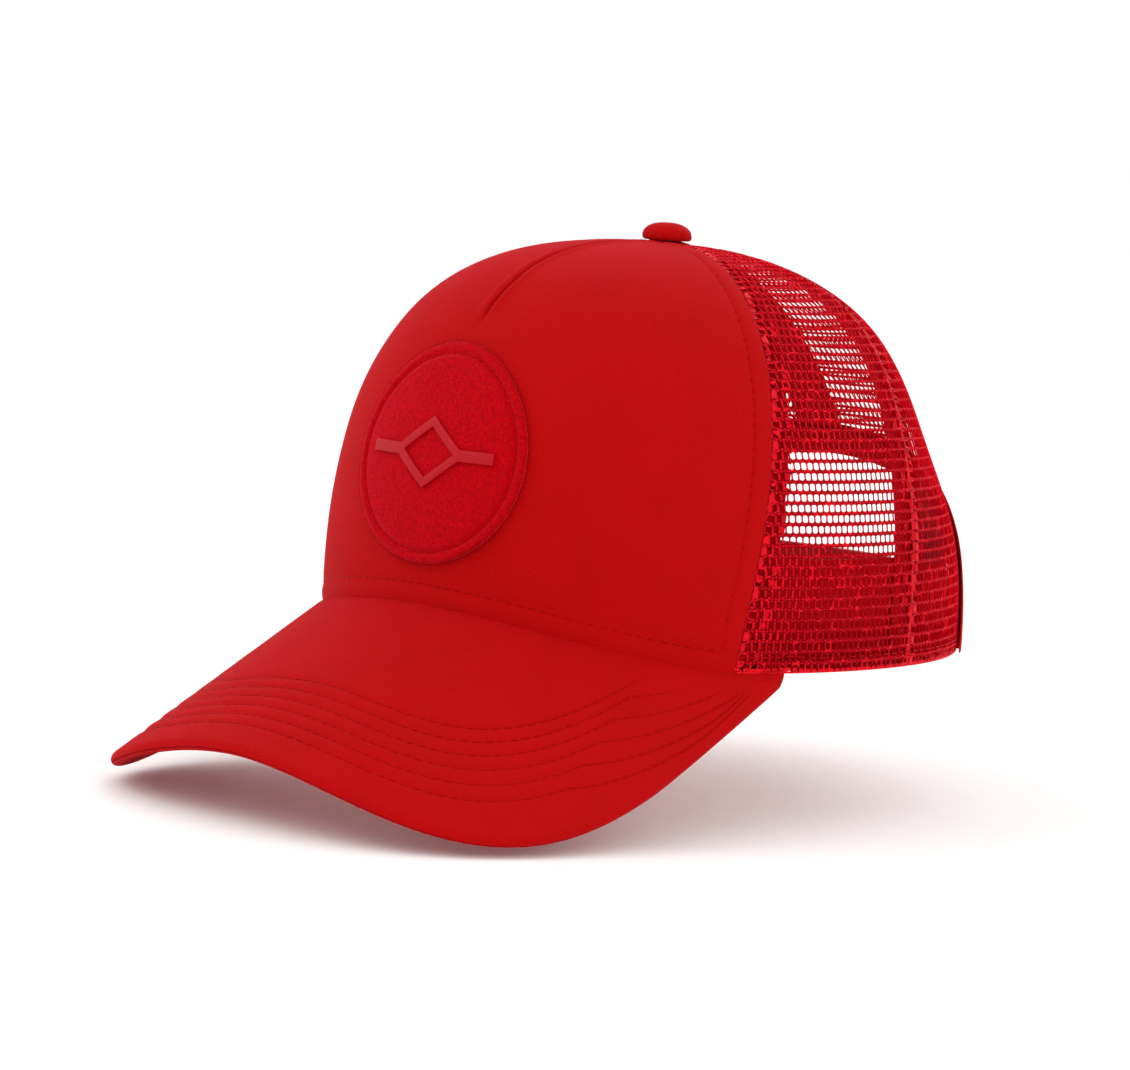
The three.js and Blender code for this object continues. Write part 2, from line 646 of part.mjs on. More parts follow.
// Wearer's left: the strap with the pegs. It starts level with the other and dips under it.
const dip = LAYER.pegStrap[0] - LAYER.holeStrap[0];
const pegShift = (bearing) => -dip * (1 - smoothstep(bearing, STRAP.hinge + 2, STRAP.hinge + 20));
let pegStrap = toManifold(strapBlank(1, LAYER.pegStrap, pegShift));
for (const angle of snapAngles) {
  const bearing = 180 + angle;
  const peg = lathe([[0, -PEG.root], [PEG.stemRadius, -PEG.root], [PEG.stemRadius, PEG.neck],
    [PEG.headRadius, PEG.neck], [PEG.headRadius - 0.4, PEG.top - 0.15], [0, PEG.top]]);
  pegStrap = pegStrap.add(toManifold(standOn(peg, bearing, LAYER.pegStrap[0])));
}
add('peg_strap', fromManifold(pegStrap), redPlastic());
add('peg_strap_tab', strapTab(1, LAYER.holeStrap), redPlastic());

export default cap;
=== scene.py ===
import math

import bpy
import numpy as np
from bpy.props import FloatProperty, FloatVectorProperty, IntProperty, PointerProperty
from mathutils import Matrix, Vector, noise


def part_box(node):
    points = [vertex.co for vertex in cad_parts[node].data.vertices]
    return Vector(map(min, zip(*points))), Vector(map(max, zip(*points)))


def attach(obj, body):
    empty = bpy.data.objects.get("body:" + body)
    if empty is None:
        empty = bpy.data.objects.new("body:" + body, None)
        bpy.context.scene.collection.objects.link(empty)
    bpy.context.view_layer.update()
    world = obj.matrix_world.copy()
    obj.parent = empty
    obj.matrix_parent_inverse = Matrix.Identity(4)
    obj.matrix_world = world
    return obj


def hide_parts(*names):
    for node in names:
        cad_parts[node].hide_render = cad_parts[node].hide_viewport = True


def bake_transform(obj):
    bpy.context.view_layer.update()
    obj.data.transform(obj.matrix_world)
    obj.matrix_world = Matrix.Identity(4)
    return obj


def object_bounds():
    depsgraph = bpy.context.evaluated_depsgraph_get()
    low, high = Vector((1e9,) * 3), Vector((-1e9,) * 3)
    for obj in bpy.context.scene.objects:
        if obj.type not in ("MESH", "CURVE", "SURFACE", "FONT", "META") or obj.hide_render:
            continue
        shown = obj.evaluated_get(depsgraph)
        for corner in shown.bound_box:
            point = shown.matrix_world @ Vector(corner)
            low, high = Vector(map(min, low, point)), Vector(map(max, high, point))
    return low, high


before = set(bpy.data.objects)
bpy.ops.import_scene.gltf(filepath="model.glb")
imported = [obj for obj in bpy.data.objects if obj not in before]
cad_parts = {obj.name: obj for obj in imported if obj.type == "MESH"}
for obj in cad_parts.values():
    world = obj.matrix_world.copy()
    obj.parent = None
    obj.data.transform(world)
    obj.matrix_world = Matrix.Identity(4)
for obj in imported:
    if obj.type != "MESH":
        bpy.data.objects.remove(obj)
CAD_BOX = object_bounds()

bl_info = {
    "name": "Trucker Cap",
    "version": (1, 0, 0),
    "blender": (4, 5, 0),
    "location": "3D View > Sidebar > Cap",
    "description": "Models the sewn and moulded pieces of a trucker cap over its packed frame",
    "category": "Object",
}

MM = 0.001
LEFT, RIGHT = 1, -1                # the wearer's sides, as signs of a bearing


# ---------------------------------------------------------------- the crown's shape
# A place on the crown is a bearing in degrees around the head, 0 at the front and 90 at the wearer's
# left, and a sweep in radians from 0 at the rim to a quarter turn at the top. Lengths are millimetres.

def box_mm(node):
    low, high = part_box(node)
    return np.array(low) / MM, np.array(high) / MM


CROWN_HEIGHT = box_mm("front_panel")[1][2]
FRONT_REACH = -box_mm("front_panel")[0][1]
HALF_WIDTH = box_mm("mesh_side_left")[1][0] + 0.2
BACK_REACH = box_mm("hole_strap")[1][1] + 2.6
RIM_POWER = 2.12
PROFILE_FRONT, PROFILE_SIDE, PROFILE_BACK = 3.1, 2.54, 1.85
APEX_HOLE = 5.0


def mix(a, b, share):
    return a + (b - a) * share


def smooth(x, low, high):
    t = np.clip((x - low) / (high - low), 0, 1)
    return t * t * (3 - 2 * t)


def bell(x, middle, spread):
    return np.exp(-(((x - middle) / spread) ** 2))


def half_round(x):
    """The height of half a circle of radius 1 over x, which runs from -1 to 1."""
    return np.sqrt(np.maximum(1 - x ** 2, 0))


def rim_radius(bearing):
    side = np.abs(np.sin(np.radians(bearing))) / HALF_WIDTH
    along = np.cos(np.radians(bearing))
    ahead = np.abs(along) / np.where(along > 0, FRONT_REACH, BACK_REACH)
    return (side ** RIM_POWER + ahead ** RIM_POWER) ** (-1 / RIM_POWER)


def rim_point(bearing):
    r, a = rim_radius(bearing), np.radians(bearing)
    return np.stack([r * np.sin(a), -r * np.cos(a), np.zeros_like(r)], -1)


def profile_power(bearing):
    along = np.cos(np.radians(bearing))
    return mix(PROFILE_SIDE, np.where(along > 0, PROFILE_FRONT, PROFILE_BACK), along ** 2)


def crown_surface(bearing, sweep):
    bearing, sweep = np.broadcast_arrays(np.asarray(bearing, float), np.asarray(sweep, float))
    n = profile_power(bearing)
    rise = np.sign(sweep) * np.abs(np.sin(sweep)) ** (2 / n)
    draw = np.maximum(np.cos(sweep), 0) ** (2 / n)
    turned = np.abs((bearing + 180) % 360 - 180)
    shoulder = bell(turned, 127, 20) * (1 - bell(draw, 0, 0.15))
    r = rim_radius(bearing) * draw + shoulder * (2.0 * bell(rise, 0.88, 0.13) - 2.9 * bell(rise, 0.52, 0.18))
    a = np.radians(bearing)
    return np.stack([r * np.sin(a), -r * np.cos(a), CROWN_HEIGHT * rise], -1)


def unit(vectors):
    return vectors / np.maximum(np.linalg.norm(vectors, axis=-1, keepdims=True), 1e-12)


def crown_normal(bearing, sweep):
    step, turn = 0.4, np.radians(0.4)
    across = crown_surface(bearing + step, sweep) - crown_surface(bearing - step, sweep)
    up = crown_surface(bearing, sweep + turn) - crown_surface(bearing, sweep - turn)
    return unit(np.cross(across, up))


def crown_at(bearing, sweep, depth):
    depth = np.asarray(depth, float)[..., None]
    return crown_surface(bearing, sweep) - crown_normal(bearing, sweep) * depth


def sweep_at_height(bearing, z):
    share = np.clip(z / CROWN_HEIGHT, -0.2, 1)
    return np.sign(share) * np.arcsin(np.abs(share) ** (profile_power(bearing) / 2))


def sweep_at_radius(bearing, r):
    return np.arccos(np.clip(r / rim_radius(bearing), 0, 1) ** (profile_power(bearing) / 2))


# How far up the crown a sweep is, measured along its surface, and the other way round.
TABLE_SWEEPS = math.pi / 2 * smooth(np.linspace(0, 1, 241), 0, 1)
TABLE_CLIMBS = np.arange(0, 230, 0.5)
_lines = crown_surface(np.arange(0, 181.0)[:, None], TABLE_SWEEPS[None, :])
_steps = np.linalg.norm(np.diff(_lines, axis=1), axis=2)
CLIMB_OF = np.concatenate([np.zeros((181, 1)), np.cumsum(_steps, axis=1)], axis=1)
SWEEP_OF = np.stack([np.interp(TABLE_CLIMBS, row, TABLE_SWEEPS) for row in CLIMB_OF])


def between_rows(table, row, column):
    row, column = np.broadcast_arrays(row, column)
    i = np.clip(row.astype(int), 0, table.shape[0] - 2)
    j = np.clip(column.astype(int), 0, table.shape[1] - 2)
    p, q = np.clip(row - i, 0, 1), np.clip(column - j, 0, 1)
    return mix(mix(table[i, j], table[i + 1, j], p), mix(table[i, j + 1], table[i + 1, j + 1], p), q)


def turned_by(bearing):
    return np.abs((np.asarray(bearing, float) + 180) % 360 - 180)


def climb_at(bearing, sweep):
    column = np.interp(sweep, TABLE_SWEEPS, np.arange(len(TABLE_SWEEPS)))
    return between_rows(CLIMB_OF, turned_by(bearing), column)


def sweep_up(bearing, climb):
    return between_rows(SWEEP_OF, turned_by(bearing), np.asarray(climb, float) / 0.5)


def spread_at(bearing, sweep):
    """Millimetres around the crown for each degree of bearing."""
    a, b = crown_surface(bearing - 0.5, sweep), crown_surface(bearing + 0.5, sweep)
    return np.maximum(np.linalg.norm(b - a, axis=-1), 0.02)


# ---------------------------------------------------------------- the visor's shape

VISOR = {"depth": 70, "half_width": 85, "middle_y": -62, "power": 3.1, "bend": 102,
         "slope": math.tan(math.radians(26.8)), "corner": 67.5, "thickness": 3.8, "tuck": 0.3,
         "horn_x": 84.3, "horn_y": -37, "horn_turn": math.radians(93)}


def visor_drop(x):
    return VISOR["bend"] - np.sqrt(np.maximum(VISOR["bend"] ** 2 - x * x, 0))


_corner = rim_point(np.array(float(VISOR["corner"])))
VISOR_RISE = float(visor_drop(_corner[0]) - VISOR["slope"] * (_corner[1] + FRONT_REACH))


def visor_height(x, y):
    return VISOR_RISE - visor_drop(x) + VISOR["slope"] * (y + FRONT_REACH)


def visor_normal(x, y):
    tilt = x / np.sqrt(VISOR["bend"] ** 2 - x * x)
    return unit(np.stack([tilt, np.full_like(tilt, -VISOR["slope"]), np.ones_like(tilt)], -1))


def visor_at(x, y, depth):
    top = np.stack([x, y, visor_height(x, y)], -1)
    return top - visor_normal(x, y) * np.asarray(depth, float)[..., None]


def signed_power(x, p):
    return np.sign(x) * np.abs(x) ** p


def visor_outer(u):
    turn = VISOR["horn_turn"] * u
    reach = VISOR["depth"] + FRONT_REACH + VISOR["middle_y"]
    x = VISOR["half_width"] * signed_power(np.sin(turn), 2 / VISOR["power"])
    y = VISOR["middle_y"] - reach * signed_power(np.cos(turn), 2 / VISOR["power"])
    horn = smooth(np.abs(u), 0.9, 1)
    return np.stack([mix(x, np.sign(u) * VISOR["horn_x"], horn), mix(y, VISOR["horn_y"], horn)], -1)


def visor_inner(u):
    point = rim_point(VISOR["corner"] * u)[..., :2]
    return point * (1 - VISOR["tuck"] / np.linalg.norm(point, axis=-1, keepdims=True))


def rim_height(bearing):
    """The crown's lower edge: just over the visor in front, level with the rim behind it."""
    point = rim_point(bearing)
    behind = smooth(np.abs(bearing), VISOR["corner"] + 0.5, VISOR["corner"] + 5)
    return (visor_height(point[..., 0], point[..., 1]) + 0.5) * (1 - behind)


# ---------------------------------------------------------------- seams and the rear arch

# Bearings of the seams at the rim and at the top, and of the end of the mesh's lower edge.
FRONT_SEAM, SIDE_SEAM, MESH_END = (57.5, 66), (101, 126), 133


def front_seam(v):
    turn = np.sin(v * math.pi / 2) ** 0.77
    return mix(*FRONT_SEAM, np.sin(turn * math.pi / 2))


def side_seam(v):
    return mix(*SIDE_SEAM, v ** 1.5)


def back_seam(v):
    return np.full_like(v, 180.0)


def sweep_from_rim(bearing, v):
    low = sweep_at_height(bearing, rim_height(bearing))
    return mix(low, sweep_at_radius(bearing, APEX_HOLE), v)


SEAM_STEPS = np.linspace(0, 1, 241)


def seam_bearing(seam, climb):
    """The bearing of a seam, 0 to 180, at a height up the crown."""
    bearings = seam(SEAM_STEPS)
    climbs = climb_at(bearings, sweep_from_rim(bearings, SEAM_STEPS))
    return np.interp(climb, climbs, bearings)


ARCH = {"across": 46, "height": 52, "power": 2.2, "binding_across": 5.5, "binding_height": 7.2}


def arch_curve(turn, spread):
    """A curve around the arch, from foot to foot: spread 0 at the opening, 1 at the binding's edge."""
    across = ARCH["across"] + ARCH["binding_across"] * spread
    height = ARCH["height"] + ARCH["binding_height"] * spread
    from_back = across * signed_power(np.cos(turn), 2 / ARCH["power"])
    return 180 - from_back, height * np.maximum(np.sin(turn), 0) ** (2 / ARCH["power"])


def in_arch(bearing, z, spread):
    across = ARCH["across"] + ARCH["binding_across"] * spread
    height = ARCH["height"] + ARCH["binding_height"] * spread
    side = (180 - turned_by(bearing)) / across
    return side ** ARCH["power"] + (np.maximum(z, 0) / height) ** ARCH["power"] < 1


def strap_at(bearing, z, depth):
    """A point of a snap strap, which follows the rim and leans in as the crown does."""
    along = rim_point(bearing + 0.5) - rim_point(bearing - 0.5)
    out = unit(np.stack([along[..., 1], -along[..., 0], np.zeros_like(along[..., 0])], -1))
    point = rim_point(bearing) - out * (np.asarray(depth, float) + 0.06 * z)[..., None]
    point[..., 2] = z
    return point


# ---------------------------------------------------------------- what a user would change

def colour_property(name, description, hex_colour):
    return FloatVectorProperty(name=name, description=description, subtype="COLOR", size=3,
                               min=0, max=1, default=from_hex(hex_colour)[:3])


def length_property(name, description, millimetres):
    return FloatProperty(name=name, description=description, unit="LENGTH", subtype="DISTANCE",
                         precision=5, min=0.0, default=millimetres * MM)


def from_hex(hex_colour):
    """Linear colour of an sRGB hex value."""
    parts = [int(hex_colour[i:i + 2], 16) / 255 for i in (1, 3, 5)]
    return (*[c / 12.92 if c <= 0.04045 else ((c + 0.055) / 1.055) ** 2.4 for c in parts], 1.0)


class CapClothSettings(bpy.types.PropertyGroup):
    cloth_colour: colour_property("Cloth colour", "Dyed colour of the twill", "#B60002")
    # The thread's colour is set darker than the cloth's: partly its own red, partly painted shade of
    # stitches sunk into the cloth.
    thread_colour_with_sunk_shade: colour_property("Thread colour", "Colour of the sewing thread", "#A00003")
    twill_spacing: length_property("Twill spacing", "Distance between the twill's ribs", 0.85)
    stitch_length: length_property("Stitch length", "Distance from one stitch to the next", 3.4)
    stitch_width: length_property("Thread thickness", "Thickness of the sewing thread", 0.42)


class CapMeshSettings(bpy.types.PropertyGroup):
    mesh_colour: colour_property("Mesh colour", "Dyed colour of the knitted mesh", "#E20018")
    hole_pitch: length_property("Hole pitch", "Distance between holes along a row", 2.2)
    row_pitch: length_property("Row pitch", "Distance between rows of holes", 2.95)
    bar: length_property("Bar", "Width of the threads between two holes of a row", 0.58)
    band: length_property("Band", "Width of the threads between two rows", 1.0)
    cloth_thickness: length_property("Thickness", "Thickness of the knitted threads", 0.5)


class CapVisorSettings(bpy.types.PropertyGroup):
    stitch_rows: IntProperty(name="Stitch rows", description="Rows of stitching on the visor",
                             default=6, min=0, max=9)
    first_row: length_property("First row", "Distance of the outermost row from the edge", 9.6)
    row_spacing: length_property("Row spacing", "Distance between two rows", 4.3)


class CapPatchSettings(bpy.types.PropertyGroup):
    felt_colour: colour_property("Felt colour", "Colour of the felt", "#B4000A")
    radius: length_property("Radius", "Radius of the round patch", 31)
    groove_inset: length_property("Groove inset", "Distance of the sewn groove from the edge", 3.2)


class CapSnapSettings(bpy.types.PropertyGroup):
    plastic_colour: colour_property("Plastic colour", "Colour of the moulded straps", "#B0040E")
    edge: length_property("Edge rounding", "Rounding of the strap's edges", 0.3)


class CapStageSettings(bpy.types.PropertyGroup):
    floor_colour: colour_property("Floor colour", "Colour of the floor", "#FCFBFA")
    light_power: FloatProperty(name="Light power", description="Power of the main softbox",
                               default=9, min=0, unit="POWER")


# ---------------------------------------------------------------- modelling helpers

def deselect():
    if bpy.context.object and bpy.context.object.mode != "OBJECT":
        bpy.ops.object.mode_set(mode="OBJECT")
    bpy.ops.object.select_all(action="DESELECT")


def named(name):
    obj = bpy.context.object
    obj.name = obj.data.name = name
    return obj


def points_of(obj):
    flat = np.zeros(len(obj.data.vertices) * 3, np.float32)
    obj.data.vertices.foreach_get("co", flat)
    return flat.reshape(-1, 3).astype(float)


def set_points(obj, points):
    obj.data.vertices.foreach_set("co", np.asarray(points, np.float32).ravel())
    obj.data.update()


def cloth_grid(name, columns, rows):
    """A flat primitive grid over the unit square, to be cut, laid and thickened as cloth."""
    deselect()
    bpy.ops.mesh.primitive_grid_add(x_subdivisions=columns, y_subdivisions=rows, size=1,
                                    location=(0.5, 0.5, 0))
    bpy.ops.object.transform_apply(location=True)
    return named(name)


def lay(obj, points, flat):
    """Moves a flat piece onto its place, in mm, and keeps its flat layout, in mm, as a UV map."""
    set_points(obj, np.asarray(points) * MM)
    layer = obj.data.uv_layers.get("cloth") or obj.data.uv_layers.new(name="cloth")
    corner = np.zeros(len(obj.data.loops), np.int32)
    obj.data.loops.foreach_get("vertex_index", corner)
    layer.data.foreach_set("uv", (np.asarray(flat)[corner] * MM).astype(np.float32).ravel())
    obj.data.uv_layers.active = layer
    for other in [x for x in obj.data.uv_layers if x.name != "cloth"]:
        obj.data.uv_layers.remove(other)
    return obj


def pick(obj):
    deselect()
    bpy.context.view_layer.objects.active = obj
    obj.select_set(True)
    return obj


def apply_modifier(obj, kind, **settings):
    modifier = pick(obj).modifiers.new(kind.lower(), kind)
    for key, value in settings.items():
        setattr(modifier, key, value)
    bpy.ops.object.modifier_apply(modifier=modifier.name)


def drape(name, columns, rows, shape, thickness):
    """A strip or panel of cloth laid on the crown. shape(u, v) gives its bearing, sweep, depth and
    flat layout for u and v from 0 to 1."""
    obj = cloth_grid(name, columns, rows)
    grid = points_of(obj)
    bearing, sweep, depth, flat = shape(grid[:, 0], grid[:, 1])
    lay(obj, crown_at(bearing, sweep, depth), flat)
    thicken(obj, thickness)
    return obj


def round_edges(obj, width):
    sharp = math.radians(40)
    apply_modifier(obj, "BEVEL", width=width, segments=3, limit_method="ANGLE", angle_limit=sharp)


def edit_all(obj, *steps):
    """Runs mesh operators, given as (operator, settings), each with the whole piece selected."""
    pick(obj)
    bpy.ops.object.mode_set(mode="EDIT")
    for operator, settings in steps:
        bpy.ops.mesh.select_all(action="SELECT")
        operator(**settings)
    bpy.ops.object.mode_set(mode="OBJECT")


def edit_some(obj, kind, test):
    """Enters edit mode with only those vertices, edges or faces selected that pass the test."""
    edit_all(obj, (bpy.ops.mesh.select_mode, {"type": kind}),
             (bpy.ops.mesh.select_all, {"action": "DESELECT"}))
    parts = {"VERT": obj.data.vertices, "EDGE": obj.data.edges, "FACE": obj.data.polygons}[kind]
    for part in parts:
        part.select = bool(test(part))
    bpy.ops.object.mode_set(mode="EDIT")


def tidy_mesh(obj, gap=0.01 * MM):
    edit_all(obj, (bpy.ops.mesh.remove_doubles, {"threshold": gap}),
             (bpy.ops.mesh.dissolve_degenerate, {"threshold": gap}))


def turn_over(obj):
    """Turns a mirrored piece's faces outwards again."""
    edit_all(obj, (bpy.ops.mesh.flip_normals, {}))


def cut_across(obj, places):
    """Cuts a piece across X at each place, so that it can bend."""
    edit_all(obj, *[(bpy.ops.mesh.bisect, {"plane_co": (x, 0, 0), "plane_no": (1, 0, 0)}) for x in places])


def draw_up(obj, height):
    """Draws a flat outline up into a closed solid."""
    lift = {"TRANSFORM_OT_translate": {"value": Vector((0, 0, height))}}
    edit_all(obj, (bpy.ops.mesh.extrude_region_move, lift),
             (bpy.ops.mesh.normals_make_consistent, {"inside": False}))


def sized(name, x, y, z=1):
    """Names the new primitive and stretches its mesh."""
    obj = named(name)
    obj.scale = (x, y, z)
    bpy.ops.object.transform_apply(location=True, scale=True)
    return obj


def thicken(obj, millimetres):
    """Gives a laid cloth its thickness, away from the side it faces."""
    apply_modifier(obj, "SOLIDIFY", thickness=millimetres * MM, offset=-1, use_even_offset=False)


def finish_piece(obj, material, body, nodes=(), smooth_angle=60):
    pick(obj)
    bpy.ops.object.shade_smooth_by_angle(angle=math.radians(smooth_angle))
    obj.data.materials.clear()
    obj.data.materials.append(material)
    if body:
        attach(obj, body)
    if nodes:
        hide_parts(*nodes)
    return obj


def join(name, parts):
    deselect()
    for part in parts:
        part.select_set(True)
    bpy.context.view_layer.objects.active = parts[0]
    if len(parts) > 1:
        bpy.ops.object.join()
    return named(name)


def mesh_data(obj):
    """A finished template as (points, faces), after which the template is removed."""
    points = points_of(obj)
    faces = [tuple(p.vertices) for p in obj.data.polygons]
    bpy.data.objects.remove(obj)
    return points, faces


def copies(name, template, frames):
    """One object made of a copy of the template in each frame, a 4 x 3 array: three axes, a place."""
    points, faces = template
    frames = np.asarray(frames, float)
    placed = np.einsum("vk,nkj->nvj", points, frames[:, :3]) + frames[:, 3][:, None]
    sizes = np.array([len(f) for f in faces])
    order = np.concatenate([np.array(f) for f in faces])
    count, stride = len(frames), len(points)
    loops = (order[None] + (np.arange(count) * stride)[:, None]).ravel()
    mesh = bpy.data.meshes.new(name)
    mesh.vertices.add(count * stride)
    mesh.loops.add(len(loops))
    mesh.polygons.add(count * len(faces))
    mesh.vertices.foreach_set("co", (placed * MM).astype(np.float32).ravel())
    mesh.loops.foreach_set("vertex_index", loops.astype(np.int32))
    totals = np.tile(sizes, count)
    mesh.polygons.foreach_set("loop_start", np.concatenate([[0], np.cumsum(totals)[:-1]]).astype(np.int32))
    mesh.update(calc_edges=True)
    obj = bpy.data.objects.new(name, mesh)
    bpy.context.scene.collection.objects.link(obj)
    return obj


def turned_form(name, profile, segments):
    """Starts from a circle and draws it up ring by ring through (radius, height) in mm."""
    deselect()
    first = profile[0]
    bpy.ops.mesh.primitive_circle_add(vertices=segments, radius=first[0] * MM,
                                      location=(0, 0, first[1] * MM))
    bpy.ops.object.transform_apply(location=True)
    obj = named(name)
    bpy.ops.object.mode_set(mode="EDIT")
    bpy.ops.mesh.select_all(action="SELECT")
    for (r0, z0), (r1, z1) in zip(profile, profile[1:]):
        lift = Vector((0, 0, (z1 - z0) * MM))
        bpy.ops.mesh.extrude_edges_move(TRANSFORM_OT_translate={"value": lift})
        if r1 == 0:
            bpy.ops.mesh.merge(type="CENTER")
            break
        ratio = r1 / r0
        bpy.ops.transform.resize(value=(ratio, ratio, 1))
    bpy.ops.mesh.select_all(action="SELECT")
    bpy.ops.mesh.remove_doubles(threshold=1e-6)
    bpy.ops.mesh.normals_make_consistent(inside=False)
    bpy.ops.object.mode_set(mode="OBJECT")
    return obj


# ---------------------------------------------------------------- stitching

def stitch_template(length, thickness):
    """One stitch: a short thread with rounded ends, along X, standing on Z = 0 in mm."""
    deselect()
    bpy.ops.mesh.primitive_cylinder_add(vertices=6, radius=thickness / 2 * MM, depth=length * 0.62 * MM,
                                        rotation=(0, math.pi / 2, 0))
    obj = named("stitch")
    bpy.ops.object.transform_apply(rotation=True)
    for end in (-1, 1):
        edit_some(obj, "FACE", lambda face, end=end: face.normal.x * end > 0.9)
        dip = Vector((end * length * 0.13 * MM, 0, -0.2 * thickness * MM))
        bpy.ops.mesh.extrude_region_move(TRANSFORM_OT_translate={"value": dip})
        bpy.ops.transform.resize(value=(1, 0.6, 0.6))
        bpy.ops.object.mode_set(mode="OBJECT")
    points, faces = mesh_data(obj)
    return points / MM, faces


def seam_frames(points, normals, pitch, start=0.5):
    """Frames evenly spaced along a seam, X along it and Z out of the cloth."""
    steps = np.linalg.norm(np.diff(points, axis=0), axis=1)
    along = np.concatenate([[0], np.cumsum(steps)])
    count = int((along[-1] - pitch) / pitch) + 1
    if count < 1:
        return np.zeros((0, 4, 3))
    at = (np.arange(count) + start) * pitch
    place = np.stack([np.interp(at, along, points[:, k]) for k in range(3)], -1)
    ahead = np.stack([np.interp(at + 0.3, along, points[:, k]) for k in range(3)], -1)
    out = unit(np.stack([np.interp(at, along, normals[:, k]) for k in range(3)], -1))
    x = unit(ahead - place)
    y = unit(np.cross(out, x))
    return np.stack([x, y, np.cross(x, y), place], 1)


def crown_seam(bearing, sweep, depth):
    return crown_at(bearing, sweep, depth), crown_normal(bearing, sweep)


def sew(context, name, seams, pitch=None):
    """Stitches along every seam, a list of (points, normals), as one piece of sewing thread."""
    cloth = context.scene.cap_cloth
    pitch = pitch or cloth.stitch_length / MM
    template = stitch_template(pitch * 0.8, cloth.stitch_width / MM)
    frames = np.concatenate([seam_frames(p, n, pitch) for p, n in seams])
    obj = copies(name, template, frames)
    return finish_piece(obj, sewing_thread(context), "crown")


# ---------------------------------------------------------------- materials

def add_node(tree, kind, inputs=None, **settings):
    """Adds a shader node, sets its settings, and fills its inputs with values, nodes or sockets."""
    node = tree.nodes.new("ShaderNode" + kind)
    for key, value in settings.items():
        setattr(node, key, value)
    for key, value in (inputs or {}).items():
        if isinstance(value, bpy.types.Node):
            value = value.outputs[2 if value.type == "MIX" else 0]     # a mix's colour is its third
        if isinstance(value, bpy.types.NodeSocket):
            tree.links.new(value, node.inputs[key])
        else:
            node.inputs[key].default_value = value
    return node


def new_material(name):
    """A material with an empty tree, or None for the tree when it was already made."""
    found = bpy.data.materials.get(name)
    if found:
        return found, None
    material = bpy.data.materials.new(name)
    material.use_nodes = True
    material.node_tree.nodes.clear()
    return material, material.node_tree


def surface(tree, inputs):
    shader = add_node(tree, "BsdfPrincipled", inputs)
    add_node(tree, "OutputMaterial", {"Surface": shader})


def wave_scale(millimetres):
    """A Wave texture's scale for bands that many mm apart."""
    return 2 * math.pi / (20 * millimetres * MM)


def shade(colour, factor):
    return (*[min(c * factor, 1.0) for c in colour[:3]], 1.0)


def brushed_twill(context):
    """Brushed cotton-polyester twill: fine slanting ribs under a short nap that catches light at
    the edges of the form. The ribs of the real cloth are 0.4 mm apart and are drawn coarser."""
    material, tree = new_material("brushed_cotton_twill")
    if tree is None:
        return material
    cloth = context.scene.cap_cloth
    base = tuple(cloth.cloth_colour) + (1.0,)
    flat = add_node(tree, "UVMap", uv_map="cloth")
    turned = add_node(tree, "Mapping", {"Vector": flat, "Rotation": (0, 0, math.radians(28))})
    ribs = add_node(tree, "TexWave",
                    {"Vector": turned, "Scale": wave_scale(cloth.twill_spacing / MM),
                     "Distortion": 0.6, "Detail": 1.0, "Detail Scale": 2.0}, bands_direction="X")
    weft = add_node(tree, "TexWave",
                    {"Vector": flat, "Scale": wave_scale(0.5), "Distortion": 0.4}, bands_direction="Y")
    nap = add_node(tree, "TexNoise", {"Vector": flat, "Scale": 2600.0, "Detail": 3.0})
    worn = add_node(tree, "TexNoise", {"Vector": flat, "Scale": 55.0, "Detail": 4.0})
    weave = add_node(tree, "Math", {0: ribs, 1: weft}, operation="MULTIPLY")
    height = add_node(tree, "Math", {0: weave, 1: nap}, operation="ADD")
    tone = add_node(tree, "Mix", {0: worn, 6: shade(base, 0.9), 7: shade(base, 1.08)},
                    data_type="RGBA")
    tint = add_node(tree, "MapRange", {0: weave, 3: 0.86, 4: 1.03})
    colour = add_node(tree, "Mix", {0: 1.0, 6: tone, 7: tint},
                      data_type="RGBA", blend_type="MULTIPLY")
    bump = add_node(tree, "Bump", {"Height": height, "Strength": 0.55,
                                             "Distance": 0.0002})
    surface(tree, {"Base Color": colour, "Roughness": 0.82, "Normal": bump,
                   "Specular IOR Level": 0.08, "Sheen Weight": 0.3, "Sheen Roughness": 0.4,
                   "Sheen Tint": (1.0, 0.02, 0.05, 1.0)})
    return material


def knitted_mesh(context):
    """Warp-knitted polyester mesh: smooth filament yarn with a slight gloss, and loops that show
    as a fine ripple along each thread."""
    material, tree = new_material("knitted_polyester_mesh")
    if tree is None:
        return material
    base = tuple(context.scene.cap_mesh.mesh_colour) + (1.0,)
    flat = add_node(tree, "UVMap", uv_map="cloth")
    loops = add_node(tree, "TexWave", {"Vector": flat, "Scale": wave_scale(0.45), "Distortion": 2.0,
                                                 "Detail": 1.0}, bands_direction="DIAGONAL")
    fibre = add_node(tree, "TexNoise", {"Vector": flat, "Scale": 1800.0, "Detail": 2.0})
    height = add_node(tree, "Math", {0: loops, 1: fibre}, operation="ADD")
    colour = add_node(tree, "Mix", {0: fibre, 6: shade(base, 0.85), 7: shade(base, 1.12)},
                      data_type="RGBA")
    bump = add_node(tree, "Bump", {"Height": height, "Strength": 0.4,
                                             "Distance": 0.00008})
    surface(tree, {"Base Color": colour, "Roughness": 0.5, "Normal": bump,
                   "Specular IOR Level": 0.1, "Sheen Weight": 0.2, "Sheen Roughness": 0.3,
                   "Sheen Tint": (1.0, 0.02, 0.08, 1.0), "Subsurface Weight": 0.2,
                   "Subsurface Radius": (0.0012, 0.0002, 0.0002), "Subsurface Scale": 1.0})
    return material


